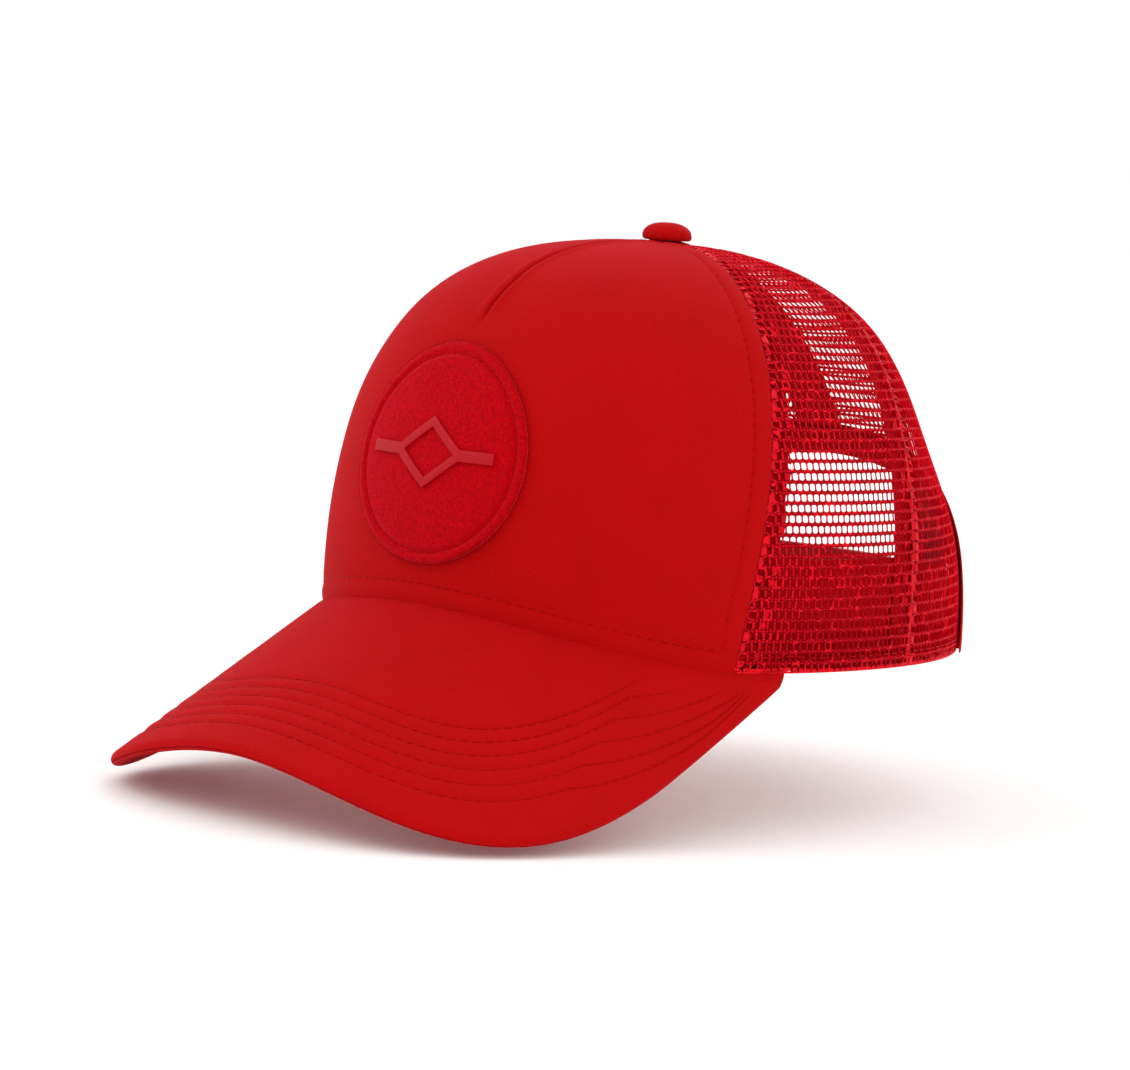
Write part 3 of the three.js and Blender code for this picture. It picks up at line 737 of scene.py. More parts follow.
def woven_cotton(context, name, hex_colour, spacing, roughness=0.9):
    """Plain or twill-woven cotton: two crossing sets of threads, matt, a little uneven in dye.
    The threads are drawn about twice as far apart as real ones, so that they show."""
    material, tree = new_material(name)
    if tree is None:
        return material
    base = from_hex(hex_colour)
    flat = add_node(tree, "UVMap", uv_map="cloth")
    warp = add_node(tree, "TexWave", {"Vector": flat, "Scale": wave_scale(spacing), "Distortion": 0.5,
                                                "Detail": 1.0}, bands_direction="X")
    weft = add_node(tree, "TexWave", {"Vector": flat, "Scale": wave_scale(spacing * 0.8),
                                                "Distortion": 0.5, "Detail": 1.0}, bands_direction="Y")
    dye = add_node(tree, "TexNoise", {"Vector": flat, "Scale": 160.0, "Detail": 4.0})
    weave = add_node(tree, "Math", {0: warp, 1: weft}, operation="MAXIMUM")
    tone = add_node(tree, "Mix", {0: dye, 6: shade(base, 0.84), 7: shade(base, 1.1)},
                    data_type="RGBA")
    tint = add_node(tree, "MapRange", {0: weave, 3: 0.78, 4: 1.0})
    colour = add_node(tree, "Mix", {0: 1.0, 6: tone, 7: tint},
                      data_type="RGBA", blend_type="MULTIPLY")
    bump = add_node(tree, "Bump", {"Height": weave, "Strength": 0.5, "Distance": 0.00015})
    surface(tree, {"Base Color": colour, "Roughness": roughness, "Normal": bump,
                   "Specular IOR Level": 0.1, "Sheen Weight": 0.15, "Sheen Roughness": 0.5,
                   "Sheen Tint": shade(base, 1.6)})
    return material


def wool_felt(context):
    """Pressed wool-look felt: matted short fibres with no weave, uneven in tone, with painted shade
    between them and painted highlight at their tips, and a halo of loose fibre at grazing angles."""
    material, tree = new_material("pressed_felt")
    if tree is None:
        return material
    base = tuple(context.scene.cap_patch.felt_colour) + (1.0,)
    place = add_node(tree, "TexCoord").outputs["Object"]
    mat = add_node(tree, "TexNoise", {"Vector": place, "Scale": 2300.0, "Detail": 5.0,
                                                "Roughness": 0.7, "Distortion": 0.6})
    tuft = add_node(tree, "TexNoise", {"Vector": place, "Scale": 1100.0, "Detail": 3.0})
    both = add_node(tree, "Math", {0: mat, 1: tuft}, operation="MULTIPLY")
    # The fibres' colour follows their relief: partly their own uneven tone, partly painted shade in the
    # hollows between them and painted highlight on their tips.
    level = add_node(tree, "MapRange", {0: both, 1: 0.14, 2: 0.4})
    colour = add_node(tree, "Mix", {0: level, 6: shade(base, 0.66), 7: shade(base, 1.2)},
                      data_type="RGBA")
    bump = add_node(tree, "Bump", {"Height": both, "Strength": 0.8, "Distance": 0.0003})
    surface(tree, {"Base Color": colour, "Roughness": 0.95, "Normal": bump,
                   "Specular IOR Level": 0.05, "Sheen Weight": 0.9, "Sheen Roughness": 0.42,
                   "Sheen Tint": (1.0, 0.05, 0.1, 1.0)})
    return material


def raised_print(context):
    """Moulded, slightly glossy print standing on the felt: smooth, with soft highlights along
    its rounded edges."""
    material, tree = new_material("moulded_rubber_print")
    if tree is None:
        return material
    place = add_node(tree, "TexCoord").outputs["Object"]
    grain = add_node(tree, "TexNoise", {"Vector": place, "Scale": 700.0, "Detail": 3.0})
    colour = add_node(tree, "Mix", {0: grain, 6: from_hex("#A2000C"), 7: from_hex("#B20014")},
                      data_type="RGBA")
    bump = add_node(tree, "Bump", {"Height": grain, "Strength": 0.25, "Distance": 0.0001})
    surface(tree, {"Base Color": colour, "Roughness": 0.4, "Normal": bump, "IOR": 1.45,
                   "Specular IOR Level": 0.2})
    return material


def sewing_thread(context):
    """Polyester sewing thread: twisted two-ply yarn with a light gloss."""
    material, tree = new_material("polyester_thread")
    if tree is None:
        return material
    # The darker thread colour carries painted shade of the sunk stitches.
    base = tuple(context.scene.cap_cloth.thread_colour_with_sunk_shade) + (1.0,)
    place = add_node(tree, "TexCoord").outputs["Object"]
    ply = add_node(tree, "TexNoise", {"Vector": place, "Scale": 2200.0, "Detail": 2.0})
    colour = add_node(tree, "Mix", {0: ply, 6: shade(base, 0.75), 7: shade(base, 1.25)},
                      data_type="RGBA")
    bump = add_node(tree, "Bump", {"Height": ply, "Strength": 0.5, "Distance": 0.0001})
    surface(tree, {"Base Color": colour, "Roughness": 0.5, "Normal": bump,
                   "Specular IOR Level": 0.05, "Sheen Weight": 0.1, "Sheen Roughness": 0.3,
                   "Sheen Tint": shade(base, 1.6)})
    return material


def moulded_plastic(context):
    """Injection-moulded soft polyethylene: satin, faintly waxy and a little translucent, with a
    fine mould texture."""
    material, tree = new_material("moulded_polyethylene")
    if tree is None:
        return material
    base = tuple(context.scene.cap_snap.plastic_colour) + (1.0,)
    place = add_node(tree, "TexCoord").outputs["Object"]
    mould = add_node(tree, "TexNoise", {"Vector": place, "Scale": 1400.0, "Detail": 2.0})
    flow = add_node(tree, "TexNoise", {"Vector": place, "Scale": 60.0, "Detail": 3.0})
    colour = add_node(tree, "Mix", {0: flow, 6: shade(base, 0.93), 7: shade(base, 1.06)},
                      data_type="RGBA")
    rough = add_node(tree, "MapRange", {0: flow, 3: 0.34, 4: 0.46})
    bump = add_node(tree, "Bump", {"Height": mould, "Strength": 0.12, "Distance": 0.0001})
    surface(tree, {"Base Color": colour, "Roughness": rough, "Normal": bump,
                   "IOR": 1.51, "Specular IOR Level": 0.3, "Subsurface Weight": 0.1,
                   "Subsurface Radius": (0.002, 0.0003, 0.0003),
                   "Subsurface Scale": 1.0})
    return material


def board_plastic(context):
    """Extruded polyethylene board: pale, matt and slightly milky, with faint die lines."""
    material, tree = new_material("polyethylene_board")
    if tree is None:
        return material
    place = add_node(tree, "TexCoord").outputs["Object"]
    lines = add_node(tree, "TexWave", {"Vector": place, "Scale": wave_scale(1.2), "Distortion": 1.5,
                                                 "Detail": 2.0}, bands_direction="X")
    colour = add_node(tree, "Mix", {0: lines, 6: from_hex("#DAD9D4"), 7: from_hex("#E6E5E1")},
                      data_type="RGBA")
    bump = add_node(tree, "Bump", {"Height": lines, "Strength": 0.1, "Distance": 0.0001})
    surface(tree, {"Base Color": colour, "Roughness": 0.55, "Normal": bump, "IOR": 1.51})
    return material


def pressed_steel(context):
    """Nickel-plated pressed steel: grey, with the faint rings of the press and a soft shine."""
    material, tree = new_material("plated_pressed_steel")
    if tree is None:
        return material
    place = add_node(tree, "TexCoord").outputs["Object"]
    rings = add_node(tree, "TexWave", {"Vector": place, "Scale": wave_scale(0.6), "Distortion": 0.3},
                     wave_type="RINGS", rings_direction="Z")
    dust = add_node(tree, "TexNoise", {"Vector": place, "Scale": 500.0, "Detail": 4.0})
    rough = add_node(tree, "MapRange", {0: dust, 3: 0.26, 4: 0.44})
    bump = add_node(tree, "Bump", {"Height": rings, "Strength": 0.08, "Distance": 0.0001})
    surface(tree, {"Base Color": from_hex("#C4C3BF"), "Metallic": 1.0, "Roughness": rough,
                   "Normal": bump})
    return material


def floor_paint(context):
    """Matt painted studio floor, with a very faint roller texture."""
    material, tree = new_material("matt_floor_paint")
    if tree is None:
        return material
    base = tuple(context.scene.cap_stage.floor_colour) + (1.0,)
    place = add_node(tree, "TexCoord").outputs["Object"]
    roller = add_node(tree, "TexNoise", {"Vector": place, "Scale": 90.0, "Detail": 3.0})
    colour = add_node(tree, "Mix", {0: roller, 6: shade(base, 0.985), 7: base},
                      data_type="RGBA")
    surface(tree, {"Base Color": colour, "Roughness": 0.8})
    return material


# ---------------------------------------------------------------- pieces

class CAP_OT_front_panel(bpy.types.Operator):
    """Sew the stiff cloth front with its centre dart, folded edges and topstitching"""
    bl_idname = "cap.front_panel"
    bl_label = "Front Panel"

    def execute(self, context):
        topstitch = 5.7            # distance of the topstitching from the seam
        columns, rows = 200, 120
        obj = cloth_grid("front_panel_cloth", columns, rows)
        grid = points_of(obj)
        # Columns crowd together at the dart and along the two side seams.
        across = np.linspace(0, 1, 401)
        weight = 1 + 4.2 * bell(across, 0, 0.05) + 2.2 * bell(across, 1, 0.09)
        share = np.concatenate([[0], np.cumsum((weight[1:] + weight[:-1]) / 2)])
        u = np.sign(grid[:, 0] - 0.5) * np.interp(np.abs(2 * grid[:, 0] - 1), share / share[-1], across)
        # Rows are evenly spaced up the cloth.
        steps = np.linspace(0, 1, 401)
        heights = climb_at(np.full(401, 25.0), sweep_from_rim(np.full(401, 25.0), steps))
        v = np.interp(mix(heights[0], heights[-1], grid[:, 1]), heights, steps)

        seam = front_seam(v)
        width = spread_at(seam, sweep_from_rim(seam, v))
        edge = seam - 0.2 / width
        bearing = u * edge
        sweep = sweep_from_rim(bearing, v)
        x = bearing * spread_at(bearing, sweep)
        climb = climb_at(bearing, sweep)
        z = crown_surface(bearing, sweep)[:, 2]
        from_seam = (edge - np.abs(bearing)) * spread_at(bearing, sweep)
        from_rim = climb - climb_at(bearing, sweep_from_rim(bearing, np.zeros_like(v)))

        depth = np.zeros(len(u))
        dart = smooth(z, 89.5, 94.5)
        depth += dart * (1.15 * bell(x, 0, 0.5) - 0.5 * bell(np.abs(x), 1.9, 1.3))
        depth += 0.35 * bell(z, 89.5, 2.2) * bell(x, 0, 1.8)
        ripple = 1 + 0.35 * np.cos(2 * math.pi * climb / (context.scene.cap_cloth.stitch_length / MM))
        low_side = smooth(from_rim, 1, 5)
        drawn_in, swollen = bell(from_seam, topstitch, 0.75), bell(from_seam, 2.9, 1.8)
        depth += low_side * (0.34 * ripple * drawn_in - 0.16 * swollen)
        depth += 0.5 * np.clip(1 - from_seam / 0.9, 0, 1) ** 2
        depth += 0.3 * bell(from_rim, 5.0, 0.8) - 0.12 * bell(from_rim, 2.6, 1.5)
        depth += 0.3 * np.clip(1 - from_rim / 0.9, 0, 1) ** 2
        # The stiffened cloth is not perfectly even.
        swell = np.array([noise.noise((a * 0.035, b * 0.035, 3.7)) for a, b in zip(x, climb)])
        depth += 0.28 * swell * smooth(from_seam, 2, 14) * smooth(from_rim, 2, 14)
        points = crown_at(bearing, sweep, depth)
        points[:, 2] -= 0.7 * np.clip(1 - from_rim / 2.0, 0, 1)     # the sewn edge sits on the visor
        lay(obj, points, np.stack([x, climb], -1))
        thicken(obj, 0.95)
        finish_piece(obj, brushed_twill(context), "crown", ["front_panel"])

        rows_of_stitches = []
        for side in (LEFT, RIGHT):
            line = np.linspace(0.035, 0.985, 160)
            seam = front_seam(line)
            inward = topstitch / spread_at(seam, sweep_from_rim(seam, line))
            bearing = side * np.maximum(seam - inward, 2)
            rows_of_stitches.append(crown_seam(bearing, sweep_from_rim(bearing, line), 0.3))
        bearing = np.linspace(-56, 56, 200)
        low = climb_at(bearing, sweep_at_height(bearing, rim_height(bearing)))
        rows_of_stitches.append(crown_seam(bearing, sweep_up(bearing, low + 5.0), 0.22))
        sew(context, "front_topstitching", rows_of_stitches)
        return {"FINISHED"}


def mesh_cell(settings):
    """The threads around one hole, in mm, modelled flat: a plane cut to a brick's outline with its
    hole inset, its corners rounded off, and both of its faces sloping to the hole's edge."""
    width, height = settings.hole_pitch / MM, settings.row_pitch / MM
    thickness = settings.cloth_thickness / MM
    deselect()
    bpy.ops.mesh.primitive_plane_add(size=1)
    obj = sized("mesh_cell", width, height)
    edit_all(obj, (bpy.ops.mesh.inset, {"thickness": 0.2, "use_even_offset": True}))
    hole = np.array([width - settings.bar / MM, height - settings.band / MM, 0])
    points = points_of(obj)
    inner = np.abs(points[:, 0]) < width / 2 - 0.01
    points[inner] = np.sign(points[inner]) * hole / 2
    set_points(obj, points)
    edit_some(obj, "VERT", lambda vertex: inner[vertex.index])
    bpy.ops.mesh.bevel(affect="VERTICES", offset=hole[0] * 0.3, segments=2)
    bpy.ops.object.mode_set(mode="OBJECT")

    def in_hole(face):
        corners = np.abs([obj.data.vertices[i].co for i in face.vertices])
        return (corners[:, :2] < hole[:2] * 0.501).all()
    edit_some(obj, "FACE", in_hole)
    bpy.ops.mesh.delete(type="ONLY_FACE")
    bpy.ops.object.mode_set(mode="OBJECT")
    # The cut at the middle of the long sides is where the next row's bars meet this one.
    cut_across(obj, [0])
    edit_all(obj, (bpy.ops.mesh.quads_convert_to_tris, {}))
    points, faces = mesh_data(obj)
    used = sorted({i for f in faces for i in f})
    index = {old: new for new, old in enumerate(used)}
    points, faces = points[used], [tuple(index[i] for i in f) for f in faces]
    outer = (np.abs(points[:, 0]) > width / 2 - 1e-3) | (np.abs(points[:, 1]) > height / 2 - 1e-3)
    under = points.copy()
    points[outer, 2], under[outer, 2] = thickness / 2, -thickness / 2
    other_side = [tuple(reversed([i + len(points) for i in f])) for f in faces]
    return np.concatenate([points, under]), faces + other_side


class MeshPanel:
    """The bounds of one openwork panel: bearings of its two side seams at each height, and what
    part of the crown's height it covers."""

    def __init__(self, middle, seams, climbs, skip_arch=False, depth=0.45):
        self.middle, self.seams, self.climbs = middle, seams, climbs
        self.skip_arch, self.depth = skip_arch, depth

    def edges(self, climb):
        """The seams' places left and right of the panel's middle, in mm, at each height."""
        middle = np.full_like(climb, self.middle)
        spread = spread_at(middle, sweep_up(middle, climb))
        return [(seam(climb) - self.middle) * spread for seam in self.seams], spread

    def place(self, x, climb):
        spread = self.edges(climb)[1]
        bearing = self.middle + x / spread
        return bearing, sweep_up(bearing, climb)


def signed_seam(side, seam, inset):
    """A side's seam as a function of height, moved along the rim by inset mm."""
    def bearing(climb):
        at = side * seam_bearing(seam, climb)
        return at + inset / spread_at(at, sweep_up(at, climb))
    return bearing


def weave_mesh(context, name, panel, phase=0.0):
    """Copies the cell in brick courses over the panel's flat shape, trims it and lays it. The
    phase moves all holes sideways, as a share of a hole's pitch."""
    settings = context.scene.cap_mesh
    width, height = settings.hole_pitch / MM, settings.row_pitch / MM
    template = mesh_cell(settings)
    low, high = panel.climbs
    frames = []
    for row in range(int(math.ceil((high - low) / height))):
        y = low + (row + 0.5) * height
        (left, right), spread = panel.edges(np.array([y]))
        first = math.ceil((left[0] - width) / width)
        xs = (np.arange(first, int((right[0] + width) / width) + 1) + 0.5 * (row % 2) + phase) * width
        inside = (xs > left[0]) & (xs < right[0])
        bearing, sweep = panel.place(xs, np.full_like(xs, y))
        point = crown_surface(bearing, sweep)
        inside &= np.hypot(point[:, 0], point[:, 1]) > APEX_HOLE + 0.8
        inside &= sweep < math.pi / 2 - 0.02
        if panel.skip_arch:
            inside &= ~in_arch(bearing, point[:, 2], 0.3)
        for x in xs[inside]:
            frames.append([(1, 0, 0), (0, 1, 0), (0, 0, 1), (x, y, 0)])
    obj = copies(name, template, frames)
    tidy_mesh(obj)

    flat = points_of(obj) / MM
    (left, right), _ = panel.edges(flat[:, 1])
    uses = {}
    for face in obj.data.polygons:
        for key in face.edge_keys:
            uses[key] = uses.get(key, 0) + 1
    border = np.zeros(len(flat), bool)
    border[[i for key, count in uses.items() if count == 1 for i in key]] = True
    x = flat[:, 0].copy()
    near_left, near_right = np.abs(x - left) < width * 0.75, np.abs(x - right) < width * 0.75
    x = np.where(border & near_left, left, x)
    x = np.where(border & near_right, right, x)
    x = np.where(~border, np.clip(x, left + 0.12, right - 0.12), np.clip(x, left, right))
    relief = np.where(border, 0, flat[:, 2])
    bearing, sweep = panel.place(x, flat[:, 1])
    lay(obj, crown_at(bearing, sweep, panel.depth - relief), np.stack([x, flat[:, 1]], -1))
    tidy_mesh(obj, 0.02 * MM)
    return obj


def turned_edge(side, seam, inward):
    """The narrow folded edge of a mesh panel along one seam: a rounded cord of gathered threads."""
    end = float(seam(np.array([1.0]))[0])
    top = float(climb_at(end, sweep_at_radius(end, APEX_HOLE)))
    low = 0.0
    if seam is back_seam:
        low = float(climb_at(180.0, sweep_at_height(180.0, ARCH["height"] + 4)))
    if seam is front_seam:
        low = float(rim_height(np.array(FRONT_SEAM[0])))
    gather = 1.5                   # distance between two gathers of the cord

    def shape(u, v):
        climb = mix(low, top, v)
        at = side * seam_bearing(seam, climb)
        spread = spread_at(at, sweep_up(at, climb))
        bearing = at + inward * (0.05 + 0.5 * u) / spread
        depth = 1.1 - 0.3 * half_round(2 * u - 1) + 0.05 * np.sin(climb * 2 * math.pi / gather)
        return bearing, sweep_up(bearing, climb), depth, np.stack([u * 1.2, climb], -1)

    obj = drape("edge", 6, 200, shape, 0.3)
    if inward < 0:
        turn_over(obj)
    return obj


def rim_edge(side, start, end):
    """The folded lower edge of the mesh, sewn to the sweatband."""
    def shape(u, v):
        bearing = side * mix(start, end, u if side == LEFT else 1 - u)
        low = rim_height(bearing)
        z = low + 1.1 * v
        depth = 0.95 - 0.4 * half_round(2 * v - 1) + 0.04 * np.sin(u * 260)
        return bearing, sweep_at_height(bearing, z), depth, np.stack([u * 70, v * 2], -1)
    return drape("edge", 120, 6, shape, 0.3)


class CAP_OT_mesh_panels(bpy.types.Operator):
    """Knit the four openwork panels, with the doubled cloth of their hems"""
    bl_idname = "cap.mesh_panels"
    bl_label = "Mesh Panels"

    def execute(self, context):
        top, lower_hem, gap = 190.0, 8.9, 0.2
        under = 0.95               # depth of the doubled cloth of a hem, inside the panel
        shifted = 0.25             # how far the hem's holes lie beside the panel's, in holes
        for side, word in ((LEFT, "left"), (RIGHT, "right")):
            panels = {"side": (84 * side, front_seam, side_seam, (FRONT_SEAM[0], SIDE_SEAM[0]), False),
                      "back": (152 * side, side_seam, back_seam, (SIDE_SEAM[0], MESH_END), True)}
            for part, (middle, ahead, behind, rim, skip) in panels.items():
                near = signed_seam(side, ahead, side * gap)
                far = signed_seam(side, behind, -side * gap)
                seams = (near, far) if side == LEFT else (far, near)
                pieces = [weave_mesh(context, "panel", MeshPanel(middle, seams, (0.0, top), skip))]
                strips = [(seams, lower_hem)]
                for seam, width, inward in ((ahead, 7.0, side), (behind, 5.0, -side)):
                    ends = [signed_seam(side, seam, inward * inset) for inset in (gap, width)]
                    strips.append((ends[::inward], top))
                    pieces.append(turned_edge(side, seam, inward))
                for ends, height in strips:
                    strip = MeshPanel(middle, ends, (0.0, height), skip, under)
                    pieces.append(weave_mesh(context, "hem", strip, shifted))
                pieces.append(rim_edge(side, *rim))
                obj = join(f"mesh_{part}_{word}_knit", pieces)
                finish_piece(obj, knitted_mesh(context), "crown", [f"mesh_{part}_{word}"],
                             smooth_angle=80)
        return {"FINISHED"}


# Half the width of the tapes over the front seams, and over the three seams behind them.
FRONT_TAPE_REACH, REAR_TAPE_REACH = 6.5, 8.5


class CAP_OT_front_stiffener(bpy.types.Operator):
    """Cut the buckram that holds the front up, behind the cloth"""
    bl_idname = "cap.front_stiffener"
    bl_label = "Front Stiffener"

    def execute(self, context):
        def shape(u, v):
            climb = mix(0.01, 0.93, v)
            seam = front_seam(climb)
            sweep = sweep_from_rim(seam, climb)
            spread = spread_at(seam, sweep)
            edge = seam - np.minimum(FRONT_TAPE_REACH / spread, 25) - 1.5 / spread
            bearing = (2 * u - 1) * edge
            sweep = sweep_from_rim(bearing, climb)
            x, up = bearing * spread_at(bearing, sweep), climb_at(bearing, sweep)
            # Pressed cloth keeps a slight unevenness, and its trimmed edge stands a little further in.
            depth = 1.75 + 0.12 * np.sin(x * 0.21) * np.sin(up * 0.17)
            depth += 0.2 * np.clip(1 - (edge - np.abs(bearing)) * spread / 1.2, 0, 1)
            return bearing, sweep, depth, np.stack([x, up], -1)

        obj = drape("front_buckram", 90, 70, shape, 0.75)
        material = woven_cotton(context, "stiffened_buckram", "#E9E5DC", 1.1, 0.85)
        finish_piece(obj, material, "crown", ["front_stiffener"])
        return {"FINISHED"}


class CAP_OT_seam_tapes(bpy.types.Operator):
    """Lay the folded tapes that cover the seams inside the crown, with their stitching"""
    bl_idname = "cap.seam_tapes"
    bl_label = "Seam Tapes"

    def execute(self, context):
        material = woven_cotton(context, "twill_seam_tape", "#C40010", 0.8)
        above_arch = sweep_at_height(180.0, ARCH["height"] + ARCH["binding_height"] + 1.5)
        back_foot = float(above_arch / sweep_at_radius(180.0, APEX_HOLE))
        tapes = [("tape_back_centre", 1, back_seam, back_foot, REAR_TAPE_REACH)]
        for side, word in ((LEFT, "left"), (RIGHT, "right")):
            tapes += [(f"tape_front_{word}", side, front_seam, 0.01, FRONT_TAPE_REACH),
                      (f"tape_side_{word}", side, side_seam, 0.01, REAR_TAPE_REACH)]
        rows, hem = [], 2.4        # the stitching's distance from a tape's edges
        for node, side, seam, foot, reach in tapes:
            def shape(u, v, side=side, seam=seam, foot=foot, reach=reach):
                climb = mix(foot, 0.98, v)
                middle = seam(climb)
                sweep = sweep_from_rim(middle, climb)
                half = np.minimum(reach / spread_at(middle, sweep), 25)
                across = (2 * u - 1) * side
                bearing = side * (middle + across * half)
                x, up = across * reach, climb_at(middle, sweep)
                # The seam allowance lifts the middle, and the stitching draws the edges down.
                depth = 1.85 + 0.28 * bell(x, 0, reach / 2.8) - 0.1 * bell(np.abs(x), reach - hem, 0.7)
                return bearing, sweep, depth, np.stack([x, up], -1)

            obj = drape(node + "_cloth", 28, 90, shape, 0.32)
            finish_piece(obj, material, "crown", [node])
            line = np.linspace(0.02, 0.93, 140)
            for edge in (hem - reach, reach - hem):
                climb = mix(foot, 0.98, line)
                middle = seam(climb)
                sweep = sweep_from_rim(middle, climb)
                bearing = side * middle + edge / np.maximum(spread_at(middle, sweep), reach / 25)
                points, normals = crown_seam(bearing, sweep, 2.2)
                rows.append((points, -normals))
        sew(context, "tape_stitching", rows)
        return {"FINISHED"}


class CAP_OT_arch_binding(bpy.types.Operator):
    """Fold a tape over the mesh all along the rear arch and stitch it down"""
    bl_idname = "cap.arch_binding"
    bl_label = "Arch Binding"

    def execute(self, context):
        obj = cloth_grid("arch_binding_tape", 150, 34)
        grid = points_of(obj)
        turn = grid[:, 0] * math.pi
        # From the outer leaf's edge, over the fold at the opening, to the inner leaf's edge.
        s = 2 * grid[:, 1] - 1
        around_fold = 0.12         # the part of the tape's half width that turns around the fold
        fold = np.clip(s / around_fold, -1, 1)
        leaf = 0.19 + 0.9 * (np.abs(s) - around_fold) / (1 - around_fold)
        spread = np.where(np.abs(s) > around_fold, leaf, 0.1 * (1 - half_round(fold)))
        depth = mix(-0.65, 2.05, (np.sin(fold * math.pi / 2) + 1) / 2)
        stitched = bell(spread, 0.78, 0.08)
        depth = depth + np.where(s < 0, 1, -1) * 0.22 * stitched
        bearing, z = arch_curve(turn, spread)
        sweep = sweep_at_height(bearing, z)
        around = grid[:, 0] * 190
        lay(obj, crown_at(bearing, sweep, depth), np.stack([around, s * 9], -1))
        thicken(obj, 0.4)
        material = woven_cotton(context, "folded_binding_tape", "#BC000C", 0.8)
        finish_piece(obj, material, "crown", ["arch_binding"])
        rows = []
        for out, depth in ((1, -0.5), (-1, 1.9)):
            bearing, z = arch_curve(np.linspace(0.03, math.pi - 0.03, 200), 0.78)
            points, normals = crown_seam(bearing, sweep_at_height(bearing, z), depth)
            rows.append((points, normals * out))
        sew(context, "binding_stitching", rows)
        return {"FINISHED"}


FOAM_HALF_ANGLE = 62
BAND_ALONG = 1.55                  # millimetres along the band for each degree of bearing


def band_depth(bearing, over_foam, flat):
    cover = 1 - smooth(np.abs(bearing), FOAM_HALF_ANGLE + 2, FOAM_HALF_ANGLE + 14)
    return mix(flat, over_foam, cover)


class CAP_OT_sweatband(bpy.types.Operator):
    """Sew in the sweatband, its padding at the brow and a black woven label whose black also stands in for
    shade
    """
    bl_idname = "cap.sweatband"
    bl_label = "Sweatband and Label"

    def execute(self, context):
        width, end = 31.2, 128

        def band(u, v):
            bearing = mix(-end, end, u)
            low = rim_height(bearing)
            up = v * width
            sweep = sweep_at_height(bearing, low + up)
            x = bearing * BAND_ALONG
            depth = band_depth(bearing, 4.75, 3.15)
            # A folded upper hem, the stitching near the rim, and shallow puckers between.
            depth = depth - 0.15 * bell(up, width - 3, 2.6) + 0.2 * bell(up, width - 6.4, 0.7)
            depth = depth - 0.2 * bell(up, 5, 0.8)
            pucker = np.array([noise.noise((a * 0.16, b * 0.05, 1.3)) for a, b in zip(x, up)])
            depth = depth + 0.2 * pucker * smooth(up, 0, 6)
            # Behind the visor the lower edge is sewn to the mesh's hem.
            hem = smooth(np.abs(bearing), 63, 69) * (1 - smooth(up, 0.4, 4.4))
            depth = mix(depth, 1.4, hem)
            return bearing, sweep, depth, np.stack([x, up], -1)

        obj = drape("sweatband_cloth", 300, 34, band, 0.6)
        finish_piece(obj, woven_cotton(context, "cotton_twill_band", "#C2000A", 0.75), "crown",
                     ["sweatband"])
        bearing = np.linspace(-end + 1, end - 1, 500)
        rows = []
        for up in (5.0, width - 6.4):
            sweep = sweep_at_height(bearing, rim_height(bearing) + up)
            points, normals = crown_seam(bearing, sweep, band_depth(bearing, 5.4, 3.8))
            rows.append((points, -normals))
        outside = np.linspace(60, 133, 160)
        for side in (LEFT, RIGHT):
            sweep = sweep_at_height(side * outside, rim_height(side * outside) + 4.2)
            rows.append(crown_seam(side * outside, sweep, 0.1))
        sew(context, "band_stitching", rows, pitch=3.8)

        def pad(u, v):
            bearing = mix(-FOAM_HALF_ANGLE, FOAM_HALF_ANGLE, u)
            up = mix(3, 28, v)
            sweep = sweep_at_height(bearing, rim_height(bearing) + up)
            edge = np.minimum(np.minimum(u, 1 - u) * 200, np.minimum(v, 1 - v) * 25)
            depth = 3.15 + 0.35 * np.clip(1 - edge / 2, 0, 1)
            return bearing, sweep, depth, np.stack([bearing * 1.5, up], -1)

        obj = drape("brow_padding", 120, 16, pad, 1.0)
        finish_piece(obj, woven_cotton(context, "padding_fleece", "#D9D5CC", 1.6, 0.95), "crown",
                     ["sweatband_foam"])

        # A black woven label inside the left rear panel. Its black is partly the label's own and partly
        # painted shade: it stands for the dark patch seen through the mesh there.
        start, stop, low, high = 101, 131, 28, 50

        def label(u, v):
            bearing = mix(start, stop, u)
            z = mix(low, high, v)
            sweep = sweep_at_height(bearing, z)
            x = u * 45
            depth = 2.5 + 0.12 * bell(x, 2.5, 0.6) + 0.12 * bell(x, 42.5, 0.6) - 0.08 * np.sin(x * 0.35)
            return bearing, sweep, depth, np.stack([x, v * (high - low)], -1)

        obj = drape("black_label_and_shade", 70, 30, label, 0.28)
        finish_piece(obj, woven_cotton(context, "black_label_cloth_and_shade", "#141414", 0.5, 0.55), "crown",
                     ["woven_label"])
        return {"FINISHED"}


# ---------------------------------------------------------------- visor

class VisorPlan:
    """Places on the visor from u, -1 to 1 from horn to horn, and a distance in from the outline."""

    def __init__(self):
        self.u = np.linspace(-1, 1, 1201)
        outer, inner = visor_outer(self.u), visor_inner(self.u)
        self.outer, self.line = outer, inner - outer
        self.length = np.linalg.norm(self.line, axis=1)
        along = unit(np.gradient(outer, axis=0))
        ahead = self.line / np.maximum(self.length, 1e-6)[:, None]
        lean = np.abs(along[:, 0] * ahead[:, 1] - along[:, 1] * ahead[:, 0])
        self.lean = np.clip(lean, 0.55, 1)
        steps = np.linalg.norm(np.diff(outer, axis=0), axis=1)
        self.around = np.concatenate([[0], np.cumsum(steps)])

    def look(self, table, u):
        return np.interp(u, self.u, table)

    def reach(self, u):
        """Millimetres from the outline to the crown, square to the outline."""
        return self.look(self.length * self.lean, u)

    def plan(self, u, inset):
        share = np.clip(inset / np.maximum(self.reach(u), 1e-3), 0, 1)
        x = self.look(self.outer[:, 0], u) + self.look(self.line[:, 0], u) * share
        y = self.look(self.outer[:, 1], u) + self.look(self.line[:, 1], u) * share
        return x, y


